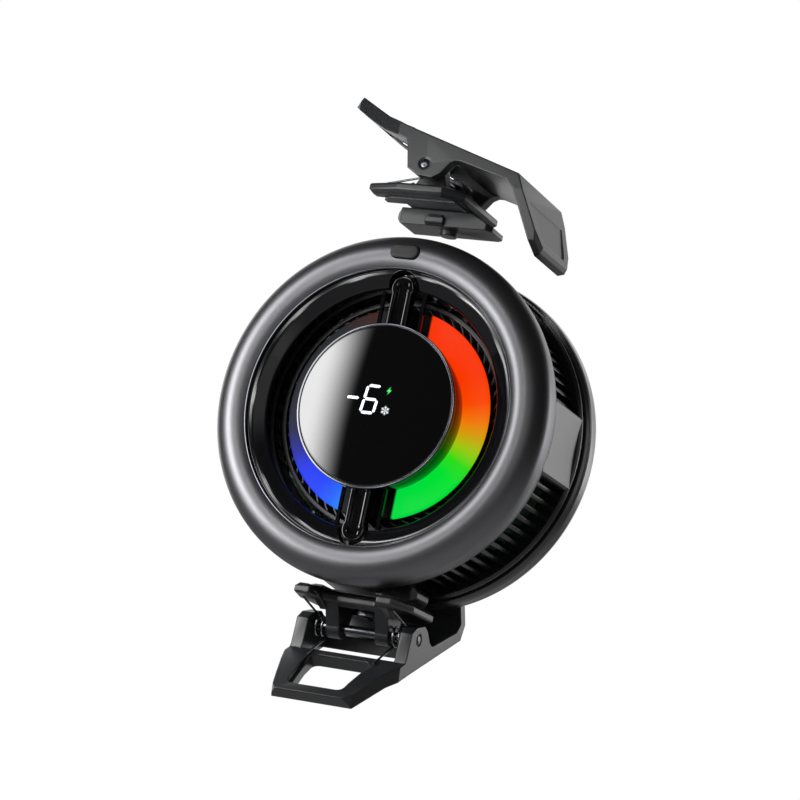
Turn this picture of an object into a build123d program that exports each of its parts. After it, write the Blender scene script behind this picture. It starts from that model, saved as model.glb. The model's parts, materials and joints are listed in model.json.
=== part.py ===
from build123d import *
import os
from math import acos, asin, atan2, cos, hypot, pi, radians, sin, sqrt, tan

# Phone cooling fan. The rear cold face lies against the back of a phone.
# X points right, Y points from the display towards the phone, Z points up.
# Depths are counted backwards from the rim of the display. The last step moves
# every piece so that the centre of the cold face becomes the origin.

# Driving dimensions in millimetres
ring_radius = 35.0
flange_thick = 1.2
louver_length = 13.5
housing_depth = 6.2
cold_proud = 1.1
pad_thick = 0.5
lever_half = 12.5
handle_reach = 20.0
handle_rise = 14.0

# Clearances
fit_gap = 0.1
seat_gap = 0.1
run_gap = 0.3
pivot_gap = 0.05
overrun = 2.0

# Front ring: a tube bent round the display, open at the back
tube_radius = 4.2
tube_inner_share = 0.643
ring_crest = -0.6
ring_wall = 1.5
ring_rear_wall = 1.0
ring_back = 9.3
ring_taper = 1.1
ring_bulge = 0.28
shelf_thick = 1.0
shelf_half = 4.4
tube_centre_radius = ring_radius - tube_radius
tube_centre_depth = ring_crest + tube_radius
ring_inner_radius = tube_centre_radius - tube_inner_share * tube_radius

# Trim line, bezel and the opening for the air
trim_width = 0.35
trim_front = 0.35
trim_depth = 0.85
bezel_width = 3.9
bezel_wall = 1.2
bezel_front = 1.0
bezel_lip = 1.4
bezel_edge = 0.4
bezel_solid_depth = 5.0
duct_gap = 0.1
recess_radius = 3.3
recess_outset = 0.1
recess_floor = 3.8
opening_radius = ring_inner_radius - bezel_width
recess_place = opening_radius + recess_outset

# Display: cup with two arms, rim, glass and board
cup_share = 0.686
cup_front = 1.2
cup_back = 7.5
cup_taper = 1.0
cup_wall = 1.3
cup_floor_depth = 4.4
cup_floor = 1.0
cup_ledge = 1.5
cup_ledge_height = 1.7
arm_half = 2.1
arm_end_radius = 2.4
arm_front = 1.6
arm_channel_half = 1.2
arm_channel_depth = 0.7
rail_place = 4.4
rail_width = 0.7
rail_front = 3.2
rim_width = 0.6
glass_crown = 0.7
glass_shape_share = 0.75
board_thick = 0.8
cup_radius = cup_share * opening_radius
ledge_front = cup_floor_depth - cup_ledge_height

# Glowing ring and its board
light_width = 5.5
light_thick = 1.2
light_board_thick = 0.6
light_board_inset = 0.3

# Fan
frame_thick = 1.2
impeller_gap = 0.8
impeller_inset = 0.8
back_disc_thick = 1.0
blade_height = 4.4
blade_count = 53
blade_thick = 0.6
blade_length = 5.4
blade_lean = 22.0
front_rim_thick = 0.8
front_rim_width = 1.0
hub_radius = 9.0
hub_height = 7.6
hub_wall = 0.8
hub_cap = 1.2
magnet_thick = 0.9
magnet_height = 4.5
shaft_radius = 0.75
shaft_boss_radius = 1.9
bearing_radius = 2.1
bearing_height = 5.0
tube_wall = 0.9
stator_radius = 6.9
stator_height = 3.6
stator_teeth = 6
tooth_width = 1.6
tooth_shoe_width = 4.6
tooth_shoe_thick = 0.9
stator_yoke_radius = 4.2
coil_clear = 0.1
coil_thick = 0.8
coil_wedge_angle = 28.0
frame_disc_radius = 8.5
frame_arm_width = 3.0
frame_boss_radius = 1.7
frame_boss_inset = 2.2
fan_screw_count = 3
fan_screw_radius = 0.7
fan_screw_head_radius = 1.4
fan_screw_head = 0.9
fan_screw_length = 4.0
impeller_radius = opening_radius - impeller_inset
blade_inner_radius = impeller_radius - blade_length

# Waist of louvers between the two rings
louver_inset = 3.1
louver_depth = 2.1
louver_thick = 0.9
louver_count = 13
panel_zone = 13.5
seat_zone = 19.5
front_flange_inset = 1.4
front_flange_gap = 0.3
spigot_depth = 1.9
lip_inset = 1.0
lip_width = 1.0
lip_thick = 0.6
rear_flange_step = 0.2
louver_radius = ring_radius - louver_inset
louver_inner_radius = louver_radius - louver_depth
front_flange_radius = ring_radius - front_flange_inset
front_flange_inner = opening_radius + bezel_wall + front_flange_gap
lip_radius = ring_radius - lip_inset
rear_flange_inner = louver_inner_radius - rear_flange_step
frame_screw_place = louver_inner_radius - frame_boss_inset

# Rear housing
housing_wall = 1.5
housing_front_wall = 1.6
housing_rim = 6.9
housing_front_rim = 6.4
shadow_inset = 2.6
shadow_depth = 1.0
housing_shoulder = 0.7
housing_shoulder_depth = 1.4
housing_edge = 1.6
rear_screw_count = 4
rear_screw_inset = 3.8
rear_screw_radius = 0.8
rear_boss_radius = 1.75
rear_head_radius = 1.5
rear_head = 1.0
housing_inner_radius = ring_radius - housing_rim
housing_front_inner = ring_radius - housing_front_rim
shadow_radius = ring_radius - shadow_inset
rear_screw_place = ring_radius - rear_screw_inset

# Cold stack, from the sink to the pad
sink_inset = 10.0
sink_base = 2.2
fin_height = 5.3
fin_count = 36
fin_thick = 0.7
fin_inner_share = 0.4
peltier_share = 1.2
peltier_thick = 3.5
peltier_plate = 0.8
peltier_core_inset = 1.0
cold_block_border = 1.0
cold_block_thick = 1.8
cold_flange_thick = 0.8
cold_flange_width = 1.2
cold_ring_gap = 0.6
pad_border = 1.5
insulation_border = 0.6
clamp_place_share = 0.932
clamp_screw_count = 4
first_screw_angle = 45.0
clamp_screw_radius = 0.8
clamp_head_radius = 1.5
clamp_head = 1.1
clamp_depth = 2.2
sink_radius = ring_radius - sink_inset
fin_inner_radius = fin_inner_share * sink_radius
peltier_side = peltier_share * sink_radius
cold_block_side = peltier_side + 2 * cold_block_border
cold_flange_radius = housing_inner_radius + cold_flange_width
cold_radius = housing_inner_radius - cold_ring_gap
pad_radius = cold_radius - pad_border
insulation_radius = sink_radius + insulation_border
clamp_screw_place = clamp_place_share * sink_radius

# Side panels and their blocks
panel_inset = 1.7
panel_thick = 1.4
panel_half_height = 7.4
panel_edge = 0.4
peg_radius = 1.0
peg_length = 1.4
peg_place = 4.4
peg_root = 1.0
panel_face = ring_radius - panel_inset

# Electronics
main_board_thick = 1.0
main_board_width = 3.4
main_board_gap = 0.2
port_width = 8.94
port_height = 3.26
port_length = 7.2
port_wall = 0.31
port_tongue_width = 6.69
port_tongue_thick = 0.7
port_back_wall = 1.0
port_inset = 0.1

# Power button and its switch
button_outset = 0.2
button_length = 6.0
button_height = 2.7
button_proud = 0.55
button_travel = 0.35
button_back = 2.4
button_ear = 0.8
button_ear_height = 2.0
button_ear_front = 1.35
switch_gap = 0.15
switch_plunger_radius = 0.6
switch_plunger = 0.55
switch_width = 3.4
switch_height = 2.6
switch_depth = 1.45
button_board_thick = 0.8
button_board_width = 7.6
button_place = tube_centre_radius + button_outset

# Depths that follow from the sizes above
louver_front = ring_back + flange_thick
louver_back = louver_front + louver_length
waist_back = louver_back + flange_thick
housing_back = waist_back + housing_depth
cold_back = housing_back + cold_proud
total_depth = cold_back + pad_thick
cold_flange_back = housing_back - housing_wall - seat_gap
cold_flange_front = cold_flange_back - cold_flange_thick
cold_block_front = cold_flange_front - cold_block_thick
peltier_front = cold_block_front - peltier_thick
sink_front = peltier_front - sink_base
fin_front = sink_front - fin_height
frame_front = fin_front - frame_thick
impeller_back = frame_front - impeller_gap
blade_back = impeller_back - back_disc_thick
blade_front = blade_back - blade_height
hub_front = impeller_back - hub_height

# Seats of the clips in the waist
seat_floor_inset = 3.5
seat_rail_inset = 1.1
pocket_half = 4.3
swivel_shift = 0.25
seat_bottom_drop = 2.6
stud_radius = 1.8
stud_length = 1.0
stud_gap = 0.2
key_depth = 0.9
key_width = 4.0
key_neck_depth = 0.5
key_neck_width = 3.1
key_head_height = 1.5
key_place = -1.6
seat_floor = ring_radius - seat_floor_inset
seat_rail_reach = ring_radius - seat_rail_inset
swivel_depth = louver_front + louver_length / 2 + swivel_shift

# Foot of a clip
foot_lift = 0.3
foot_clear = 0.1
foot_half = 4.0
foot_front_end = -10.4
foot_rear_end = 10.6
foot_end_drop = 2.3
foot_slope_start = 6.0
foot_nose = 1.1
boss_radius = 2.6
boss_slack = 0.1
screw_head_radius = 3.6
screw_head = 1.2
screw_shank_radius = 1.0
screw_depth = 3.0
screw_slot = 0.7
screw_slot_share = 0.75
screw_slot_depth = 0.5
foot_bottom = seat_floor + foot_lift
foot_top = ring_radius + foot_clear
foot_end_height = foot_top - foot_end_drop

# Bracket of a clip, with its strip underneath
pad_gap = 0.2
strip_thick = 0.4
strip_inset = 3.0
strip_front_share = 0.80
strip_rear_share = 0.78
plate_thick = 2.1
plate_inset = 0.1
plate_front = 11.9
plate_rear = 8.6
plate_side_front = 5.0
plate_side_rear = 4.8
plate_rear_taper = 3.4
plate_top_edge = 0.3
plate_bottom_edge = 0.8
tab_taper = 2.1
tab_width = 3.1
notch_back = 5.2
notch_corner = 1.6
pin_ahead = 2.5
pin_rise = 4.3
pin_radius = 0.92
knuckle_width = 2.85
knuckle_radius = 2.1
leg_front = 5.2
leg_rear = 3.6
bridge_thick = 1.3
bridge_height = 3.0
bridge_sill = 0.9
bridge_corner = 1.1
gusset_thick = 1.5
spring_room = 3.25
plate_half = lever_half - plate_inset
plate_rear_half = plate_half - plate_rear_taper
strip_half = plate_half - strip_inset
tab_outer = plate_half - tab_taper
tab_inner = tab_outer - tab_width
plate_bottom = foot_top + pad_gap + strip_thick
plate_top = plate_bottom + plate_thick
pin_height = plate_top + pin_rise
pin_depth = -pin_ahead

# Lever of a clip: loop handle, two cheeks, beam and jaw
cheek_thick = 2.5
handle_tip_inset = 4.2
handle_corner = 1.2
handle_chamfer = 1.3
handle_shoulder_share = 0.35
loop_front_share = 0.87
loop_rear_share = 0.35
loop_tilt = 30.0
loop_rail = 1.9
loop_taper = 1.3
loop_corner = 1.4
loop_step = 0.6
loop_step_depth = 0.7
cheek_reach = 9.4
beam_start = 5.0
jaw_behind = 2.5
bend_outer_drop = 0.5
bend_back = 0.7
bend_inner_drop = 3.7
beam_round = 1.8
beam_end_drop = 1.9
jaw_lean = 4.9
jaw_fall = 11.7
jaw_thick = 2.2
jaw_tip_taper = 3.3
jaw_end_taper = 2.4
jaw_chamfer = 2.6
jaw_bevel = 0.9
jaw_recess = 0.35
jaw_border = 2.3
jaw_pad_thick = 0.8
jaw_pad_margin = 1.2
ring_mark_radius = 1.25
ring_mark_depth = 0.2
cheek_inner = lever_half - cheek_thick
knuckle_outer = cheek_inner - spring_room
knuckle_inner = knuckle_outer - knuckle_width
handle_tip_half = lever_half - handle_tip_inset
handle_front_half = handle_tip_half - handle_corner
loop_front_half = handle_front_half - loop_rail
loop_rear_half = loop_front_half + loop_taper
bend_outer_reach = total_depth - swivel_depth + pin_ahead + jaw_behind
bend_inner_reach = bend_outer_reach - bend_back
beam_end_reach = bend_inner_reach - beam_round
jaw_reach = bend_inner_reach + jaw_lean
jaw_drop = bend_inner_drop + jaw_fall
jaw_tip_half = lever_half - jaw_tip_taper
jaw_end_half = jaw_tip_half - jaw_end_taper

# Torsion springs on the pin
wire = 0.45
spring_radius = 1.9
spring_side_gap = 0.15
spring_turns = 2
spring_bracket_reach = 8.5
spring_handle_share = 0.4
spring_touch_gap = 0.06
spring_steps = 5
spring_samples = 12

# The upper clip is pulled out of its seat, and the lower lever is further closed
upper_pulled_out = 8.9
upper_lever_turn = 0.0
lower_lever_turn = 9.0

# The side view of the lever: shares of the handle's reach and rise, from the pin
handle_top_shares = [(0.905, 1.0), (0.755, 0.88), (0.51, 0.68), (0.275, 0.55), (0.18, 0.51)]
handle_bottom_shares = [(0.23, 0.325), (0.265, 0.345), (0.54, 0.49), (0.78, 0.67), (1.0, 0.87)]
beam_crown_share = (0.033, 0.436)
# The cheek: shares of its reach behind the pin and of the rise of the handle
cheek_shares = [
    (-0.543, 0.350),
    (-0.489, 0.286),
    (-0.372, -0.086),
    (-0.160, -0.171),
    (0.223, -0.200),
    (0.394, -0.128),
    (0.574, 0.028),
    (0.691, 0.0714),
    (0.809, 0.0714),
]


def section(start, *steps):
    """Closed face. A step is a corner, or a pair: a point on an arc and its end."""
    edges = []
    here = start
    for step in steps:
        if isinstance(step[0], tuple):
            edges.append(Edge.make_three_point_arc(here, step[0], step[1]))
            here = step[1]
        else:
            edges.append(Edge.make_line(here, step))
            here = step
    if here != start:
        edges.append(Edge.make_line(here, start))
    return Face(Wire(edges))


def corners(*points):
    """Closed face with sharp corners."""
    return make_face(Polyline(*points, close=True))


def rounded(points, radius):
    """Closed face with every corner rounded to one radius."""
    return make_face(FilletPolyline(*points, radius=radius, close=True))


def turned(face):
    """Solid of revolution about the fan's axis from a face of radius and depth."""
    return revolve(face, Axis.Y)


def hoop(inner, outer, front, back):
    """Plain ring or disc round the fan's axis."""
    ring = rod(outer, front, back)
    if inner > 0:
        ring -= rod(inner, front - overrun, back + overrun)
    return ring


def rod(radius, front, back, x=0, z=0):
    """Cylinder along the depth."""
    middle = (front + back) / 2
    return Pos(x, middle, z) * Rot(90, 0, 0) * Cylinder(radius, back - front)


def post(radius, bottom, top, x=0, y=0):
    """Cylinder along the height."""
    return Pos(x, y, (bottom + top) / 2) * Cylinder(radius, top - bottom)


def pin_along(radius, left, right, y, z):
    """Cylinder along the width."""
    return Pos((left + right) / 2, y, z) * Rot(0, 90, 0) * Cylinder(radius, right - left)


def block(left, right, front, back, bottom, top):
    """Box between six faces."""
    centre = Pos((left + right) / 2, (front + back) / 2, (bottom + top) / 2)
    return centre * Box(right - left, back - front, top - bottom)


def side_view(face, left, right):
    """A face of depth and height, thickened from left to right."""
    return extrude(Plane.YZ.offset(left) * face, right - left)


def front_view(face, front, back):
    """A face of width and height, thickened from front to back."""
    return extrude(Plane.XZ.offset(-back) * face, back - front)


def plan_view(face, bottom, top):
    """A face of width and depth, thickened from bottom to top."""
    return extrude(Plane.XY.offset(bottom) * face, top - bottom)


def round_axis(shape, angle):
    """The shape turned about the fan's axis."""
    return Rot(0, angle, 0) * shape


def spread(shape, count, start=0):
    """Equal copies round the fan's axis."""
    return [round_axis(shape, start + i * 360 / count) for i in range(count)]


def mirrored(points):
    """An outline given on its right side, closed with its left side."""
    return points + [(-x, y) for x, y in reversed(points)]


def pill(length, height, x=0, z=0):
    """Slot-shaped face of width and height."""
    return Pos(x, z) * SlotOverall(length, height)


def write(name, shape):
    """Move a piece from display depths to the object's frame and save it."""
    solids = (Pos(0, -total_depth, 0) * shape).solids()
    piece = solids[0] if len(solids) == 1 else Compound(children=solids)
    piece.label = name
    export_step(piece, f"parts/{name}.step")


# Front ring
def tube_point(radius, side):
    """Depth of a circle about the tube's centre at the ring's inner radius."""
    across = tube_centre_radius - side
    return tube_centre_depth - sqrt(radius**2 - across**2)


def ring_outer_path():
    """The glossy outside: tube from the inner edge over the crest to the back."""
    crest = (tube_centre_radius, ring_crest)
    inner_edge = (ring_inner_radius, tube_point(tube_radius, ring_inner_radius))
    equator = (ring_radius, tube_centre_depth)
    back_edge = (ring_radius - ring_taper, ring_back)
    middle = (ring_radius - ring_bulge, (tube_centre_depth + ring_back) / 2)
    return inner_edge, crest, equator, middle, back_edge


def make_front_ring():
    inner_edge, crest, equator, middle, back_edge = ring_outer_path()
    hollow_radius = tube_radius - ring_wall
    skirt = ring_inner_radius + ring_wall
    hollow_edge = (skirt, tube_point(hollow_radius, skirt))
    diagonal = hollow_radius * sqrt(1 / 2)
    hollow_way = (tube_centre_radius + diagonal, tube_centre_depth - diagonal)
    hollow_equator = (ring_radius - ring_wall, tube_centre_depth)
    thinning = (ring_wall + ring_rear_wall) / 2
    shell = turned(
        section(
            inner_edge,
            (crest, equator),
            (middle, back_edge),
            (back_edge[0] - ring_rear_wall, ring_back),
            ((middle[0] - thinning, middle[1]), hollow_equator),
            (hollow_way, hollow_edge),
            (skirt, ring_back),
            (ring_inner_radius, ring_back),
        )
    )
    filled = turned(
        section(inner_edge, (crest, equator), (middle, back_edge), (ring_inner_radius, ring_back))
    )
    board_back = button_board_front() + button_board_thick
    shelf = block(-shelf_half, shelf_half, board_back, board_back + shelf_thick, 0, ring_radius)
    hole = front_view(
        pill(button_length + 2 * fit_gap, button_height + 2 * fit_gap, 0, button_place),
        ring_crest - overrun,
        button_back,
    )
    return shell + (shelf & filled) - hole


def make_trim_ring():
    return hoop(ring_inner_radius - trim_width, ring_inner_radius, trim_front, trim_front + trim_depth)


# Bezel with the wall of the air opening
def make_bezel():
    outer = ring_inner_radius - fit_gap
    trim_inner = ring_inner_radius - trim_width - fit_gap / 2
    trim_back = trim_front + trim_depth
    lip_depth = bezel_front + bezel_lip
    cone = turned(
        corners(
            (trim_inner, bezel_front),
            (trim_inner, trim_back),
            (outer, trim_back),
            (outer, bezel_solid_depth),
            (opening_radius + bezel_wall, bezel_solid_depth),
            (opening_radius + bezel_wall, ring_back - duct_gap),
            (opening_radius, ring_back - duct_gap),
            (opening_radius, lip_depth + bezel_edge),
            (opening_radius + bezel_edge, lip_depth),
        )
    )
    for side in (1, -1):
        cone -= rod(recess_radius, 0, recess_floor, 0, side * recess_place)
        mouth = sorted((side * (opening_radius - overrun), side * recess_place))
        cone -= block(-recess_radius, recess_radius, 0, recess_floor, *mouth)
    return cone


# Display
def cup_radius_at(depth):
    """The cup narrows towards its back."""
    return cup_radius - cup_taper * (depth - cup_front) / (cup_back - cup_front)


def make_display_bridge():
    cup = turned(
        corners(
            (cup_radius, cup_front),
            (cup_radius - cup_taper, cup_back),
            (cup_radius - cup_taper - cup_wall, cup_back),
            (cup_radius - cup_taper - cup_wall, cup_floor_depth + cup_floor),
            (0, cup_floor_depth + cup_floor),
            (0, cup_floor_depth),
            (cup_radius - cup_wall - cup_ledge, cup_floor_depth),
            (cup_radius - cup_wall - cup_ledge, ledge_front),
            (cup_radius - cup_wall, ledge_front),
            (cup_radius - cup_wall, cup_front),
        )
    )
    hollow = rod(cup_radius - cup_wall, cup_front - overrun, ledge_front)
    for side in (1, -1):
        reach = side * recess_place
        inner = side * (cup_radius - cup_wall)
        span = sorted((inner, reach))
        arm = block(-arm_half, arm_half, arm_front, recess_floor, *span)
        arm += rod(arm_end_radius, arm_front, recess_floor, 0, reach)
        groove = sorted((side * cup_radius, reach))
        arm -= block(
            -arm_channel_half, arm_channel_half, 0, arm_front + arm_channel_depth, *groove
        )
        for rail_side in (1, -1):
            middle = rail_side * rail_place
            outermost = rail_place + rail_width / 2
            rail_end = sqrt((opening_radius - seat_gap) ** 2 - outermost**2)
            foot = sorted((inner, side * rail_end))
            arm += block(
                middle - rail_width / 2, middle + rail_width / 2, rail_front, recess_floor, *foot
            )
        cup += arm - hollow
    return cup


def make_display_rim():
    return hoop(cup_radius - rim_width, cup_radius, 0, cup_front)


def make_display_glass():
    edge = cup_radius - rim_width - pivot_gap
    rise = -glass_crown
    half_way = (edge / 2, rise * glass_shape_share)
    return turned(section((0, rise), (half_way, (edge, 0)), (edge, cup_front), (0, cup_front)))


def make_display_board():
    return rod(cup_radius - cup_wall - 2 * seat_gap, ledge_front - board_thick, ledge_front)


# Glowing ring behind the display
def light_inner():
    return cup_radius_at(cup_back - light_thick) + fit_gap / 2


def make_light_ring():
    inner = light_inner()
    return hoop(inner, inner + light_width, cup_back - light_thick, cup_back)


def make_light_board():
    inner = light_inner()
    outer = inner + light_width - light_board_inset
    return hoop(inner - cup_taper / 2, outer, cup_back, cup_back + light_board_thick)


# Fan
def make_impeller():
    magnet_seat = hub_radius - hub_wall
    hub = hoop(magnet_seat, hub_radius, hub_front, impeller_back)
    hub += rod(hub_radius - hub_wall / 2, hub_front, hub_front + hub_cap)
    hub += rod(shaft_boss_radius, hub_front, hub_front + 2 * hub_cap)
    disc = hoop(hub_radius - hub_wall / 2, impeller_radius, blade_back, impeller_back)
    rim_inner = impeller_radius - front_rim_width
    rim = hoop(rim_inner, impeller_radius, blade_front - front_rim_thick, blade_front)
    length = (impeller_radius - blade_inner_radius) / cos(radians(blade_lean))
    middle = (impeller_radius + blade_inner_radius) / 2 - front_rim_width / 2
    depth_centre = (blade_front + blade_back) / 2
    blade = Pos(middle, depth_centre, 0) * Rot(0, blade_lean, 0) * Box(
        length - front_rim_width, blade_height + front_rim_thick, blade_thick
    )
    fan = hub + disc + rim + spread(blade, blade_count)
    return fan - rod(shaft_radius, hub_front + hub_cap / 2, impeller_back + overrun)


def make_impeller_magnet():
    outer = hub_radius - hub_wall
    return hoop(outer - magnet_thick, outer, blade_back - magnet_height, blade_back)


def make_motor_shaft():
    return rod(shaft_radius, hub_front + hub_cap / 2, frame_front - run_gap)


def bearing_front():
    return frame_front - run_gap - bearing_height


def make_motor_bearing():
    return hoop(shaft_radius + pivot_gap, bearing_radius, bearing_front(), frame_front - run_gap)


def stator_span():
    middle = blade_back - magnet_height / 2
    return middle - stator_height / 2, middle + stator_height / 2


def make_stator_core():
    front, back = stator_span()
    core = rod(stator_yoke_radius, front, back)
    tooth = block(0, stator_radius, front, back, -tooth_width / 2, tooth_width / 2)
    shoe = block(
        stator_radius - tooth_shoe_thick,
        stator_radius,
        front,
        back,
        -tooth_shoe_width / 2,
        tooth_shoe_width / 2,
    )
    core += spread(tooth + shoe, stator_teeth)
    limit = hub_radius - hub_wall - magnet_thick - run_gap
    core &= rod(limit, front, back)
    return core - rod(bearing_radius + tube_wall, front - overrun, back + overrun)


def make_stator_coils():
    front, back = stator_span()
    inner = stator_yoke_radius + coil_clear
    outer = stator_radius - tooth_shoe_thick - coil_clear
    side = tooth_width / 2 + coil_clear
    hole = block(0, stator_radius, front - coil_clear, back + coil_clear, -side, side)
    coil = block(
        inner,
        outer,
        front - coil_clear - coil_thick,
        back + coil_clear + coil_thick,
        -side - coil_thick,
        side + coil_thick,
    )
    reach = 2 * outer
    spread_half = reach * tan(radians(coil_wedge_angle))
    wedge = corners((0, 0), (reach, spread_half), (reach, -spread_half))
    kept = front_view(wedge, front - coil_thick - overrun, back + coil_thick + overrun)
    one = (coil & kept) - hole
    return Compound(children=[c for part in spread(one, stator_teeth) for c in part.solids()])


def make_fan_frame():
    frame = rod(frame_disc_radius, frame_front, fin_front)
    arm = block(
        0,
        frame_screw_place,
        frame_front,
        fin_front,
        -frame_arm_width / 2,
        frame_arm_width / 2,
    )
    arm += rod(frame_boss_radius + fit_gap, frame_front, fin_front, frame_screw_place, 0)
    frame += spread(arm, fan_screw_count)
    tube_front = stator_span()[0] - coil_thick
    frame += rod(bearing_radius + tube_wall, tube_front, frame_front)
    frame -= rod(bearing_radius, 0, frame_front - run_gap)
    hole = rod(
        fan_screw_radius, frame_front - overrun, fin_front + overrun, frame_screw_place, 0
    )
    return frame - spread(hole, fan_screw_count)


def make_fan_screws():
    back = fin_front + fan_screw_head
    screw = rod(fan_screw_head_radius, fin_front, back, frame_screw_place, 0)
    screw += rod(fan_screw_radius, back - fan_screw_length, back, frame_screw_place, 0)
    return Compound(
        children=[c for one in spread(screw, fan_screw_count) for c in one.solids()]
    )


# Cold stack
def make_heat_sink():
    sink = rod(sink_radius, sink_front, peltier_front)
    fin = block(
        fin_inner_radius, sink_radius, fin_front, sink_front, -fin_thick / 2, fin_thick / 2
    )
    sink += spread(fin, fin_count)
    head = rod(
        clamp_head_radius + run_gap,
        fin_front - overrun,
        sink_front,
        clamp_screw_place,
        0,
    )
    hole = rod(clamp_screw_radius, 0, peltier_front + overrun, clamp_screw_place, 0)
    sink -= spread(head, clamp_screw_count, first_screw_angle)
    return sink - spread(hole, clamp_screw_count, first_screw_angle)


def make_clamp_screws():
    back = cold_flange_front + clamp_depth
    screw = rod(clamp_head_radius, sink_front - clamp_head, sink_front, clamp_screw_place, 0)
    screw += rod(clamp_screw_radius, sink_front - clamp_head, back, clamp_screw_place, 0)
    return Compound(
        children=[c for one in spread(screw, clamp_screw_count, first_screw_angle) for c in one.solids()]
    )


def make_peltier_module():
    half = peltier_side / 2
    core = half - peltier_core_inset
    hot = block(-half, half, peltier_front, peltier_front + peltier_plate, -half, half)
    cold = block(-half, half, cold_block_front - peltier_plate, cold_block_front, -half, half)
    legs = block(-core, core, peltier_front, cold_block_front, -core, core)
    return hot + cold + legs


def make_insulation_ring():
    ring = rod(insulation_radius, peltier_front + seat_gap, cold_block_front - seat_gap)
    half = peltier_side / 2 + seat_gap
    ring -= block(-half, half, 0, total_depth, -half, half)
    hole = rod(clamp_screw_radius + fit_gap, 0, total_depth, clamp_screw_place, 0)
    return ring - spread(hole, clamp_screw_count, first_screw_angle)


def make_cold_plate():
    half = cold_block_side / 2
    plate = block(-half, half, cold_block_front, cold_flange_front, -half, half)
    corner = clamp_head_radius + clamp_screw_radius
    ears = rod(corner, cold_block_front, cold_flange_front, clamp_screw_place, 0)
    plate += spread(ears, clamp_screw_count, first_screw_angle)
    plate += rod(cold_flange_radius, cold_flange_front, cold_flange_back)
    plate += rod(cold_radius, cold_flange_front, cold_back)
    back = cold_flange_front + clamp_depth
    hole = rod(clamp_screw_radius, 0, back, clamp_screw_place, 0)
    return plate - spread(hole, clamp_screw_count, first_screw_angle)


def make_thermal_pad():
    return rod(pad_radius, cold_back, total_depth)


# Waist of louvers
def panel_box(gap):
    """Room of a side panel on the right, with a clearance round it."""
    half = panel_half_height + gap
    return block(
        panel_face - panel_thick,
        ring_radius + overrun,
        ring_back - gap,
        waist_back + gap,
        -half,
        half,
    )


def port_room(gap):
    """Room of the power inlet on the left, with a clearance round it."""
    middle = port_depth()
    long_slot = Rot(0, 0, 90) * SlotOverall(port_width + 2 * gap, port_height + 2 * gap)
    return extrude(
        Plane.YZ.offset(-ring_radius - overrun) * Pos(middle, 0) * long_slot, ring_radius
    )


def port_depth():
    return board_front() - port_height / 2


def board_front():
    return waist_back - main_board_thick


def make_waist_grille():
    inner = louver_inner_radius
    grille = hoop(front_flange_inner, front_flange_radius, ring_back, louver_front)
    spigot_inner = ring_inner_radius + ring_wall + fit_gap
    spigot_outer = ring_radius - ring_taper - ring_rear_wall - fit_gap
    grille += hoop(spigot_inner, spigot_outer, ring_back - spigot_depth, ring_back)
    grille += turned(
        corners(
            (rear_flange_inner, louver_back),
            (lip_radius - lip_width, louver_back),
            (lip_radius, waist_back - lip_thick),
            (lip_radius, waist_back),
            (rear_flange_inner, waist_back),
        )
    )
    louver = block(
        inner, louver_radius, ring_back, waist_back, -louver_thick / 2, louver_thick / 2
    )
    open_zone = 90 - panel_zone - seat_zone
    pitch = open_zone / louver_count
    louvers = []
    for quarter in range(4):
        mirror_quarter = quarter % 2 == 1
        for i in range(louver_count):
            step = panel_zone + (i + 1 / 2) * pitch
            angle = quarter * 90 + (90 - step if mirror_quarter else step)
            louvers.append(round_axis(louver, angle))
    grille += louvers
    side = block(
        inner, panel_face - panel_thick, ring_back, waist_back, -panel_half_height, panel_half_height
    )
    grille += [side, round_axis(side, 180)]
    boss = rod(
        frame_boss_radius, ring_back, frame_front, frame_screw_place, 0
    )
    grille += spread(boss, fan_screw_count)
    room = panel_box(fit_gap)
    grille -= [room, round_axis(room, 180)]
    grille -= port_room(fit_gap)
    peg = panel_pegs(pivot_gap)
    grille -= [peg, round_axis(peg, 180)]
    screw_front = fin_front + fan_screw_head - fan_screw_length
    screw_hole = rod(fan_screw_radius, screw_front, frame_front + overrun, frame_screw_place, 0)
    grille -= spread(screw_hole, fan_screw_count)
    rear_hole = rod(rear_screw_radius, louver_back, waist_back + overrun, rear_screw_place, 0)
    return grille - spread(rear_hole, rear_screw_count, first_screw_angle)


def panel_pegs(gap):
    """Two pegs on the inside of a side panel on the right."""
    middle = (ring_back + waist_back) / 2 - peg_place / 2
    pegs = [
        pin_along(
            peg_radius + gap,
            panel_face - panel_thick - peg_length,
            panel_face - panel_thick + peg_root,
            middle,
            side * peg_place,
        )
        for side in (1, -1)
    ]
    return pegs[0] + pegs[1]


def make_side_panel():
    half = panel_half_height
    panel = block(
        panel_face - panel_thick, panel_face, ring_back, waist_back - pivot_gap, -half, half
    )
    cut = plan_edge_cut(half)
    panel -= [cut, mirror(cut, Plane.XY)]
    return panel + panel_pegs(0)


def plan_edge_cut(half):
    """Wedge that bevels the panel's upper long edge."""
    wedge = corners(
        (panel_face - panel_edge, half),
        (panel_face + overrun, half - panel_edge - overrun),
        (panel_face + overrun, half + overrun),
        (panel_face - panel_edge, half + overrun),
    )
    return front_view(wedge, ring_back - overrun, waist_back + overrun)


def make_side_panel_left():
    return round_axis(make_side_panel(), 180) - port_room(fit_gap)


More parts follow.
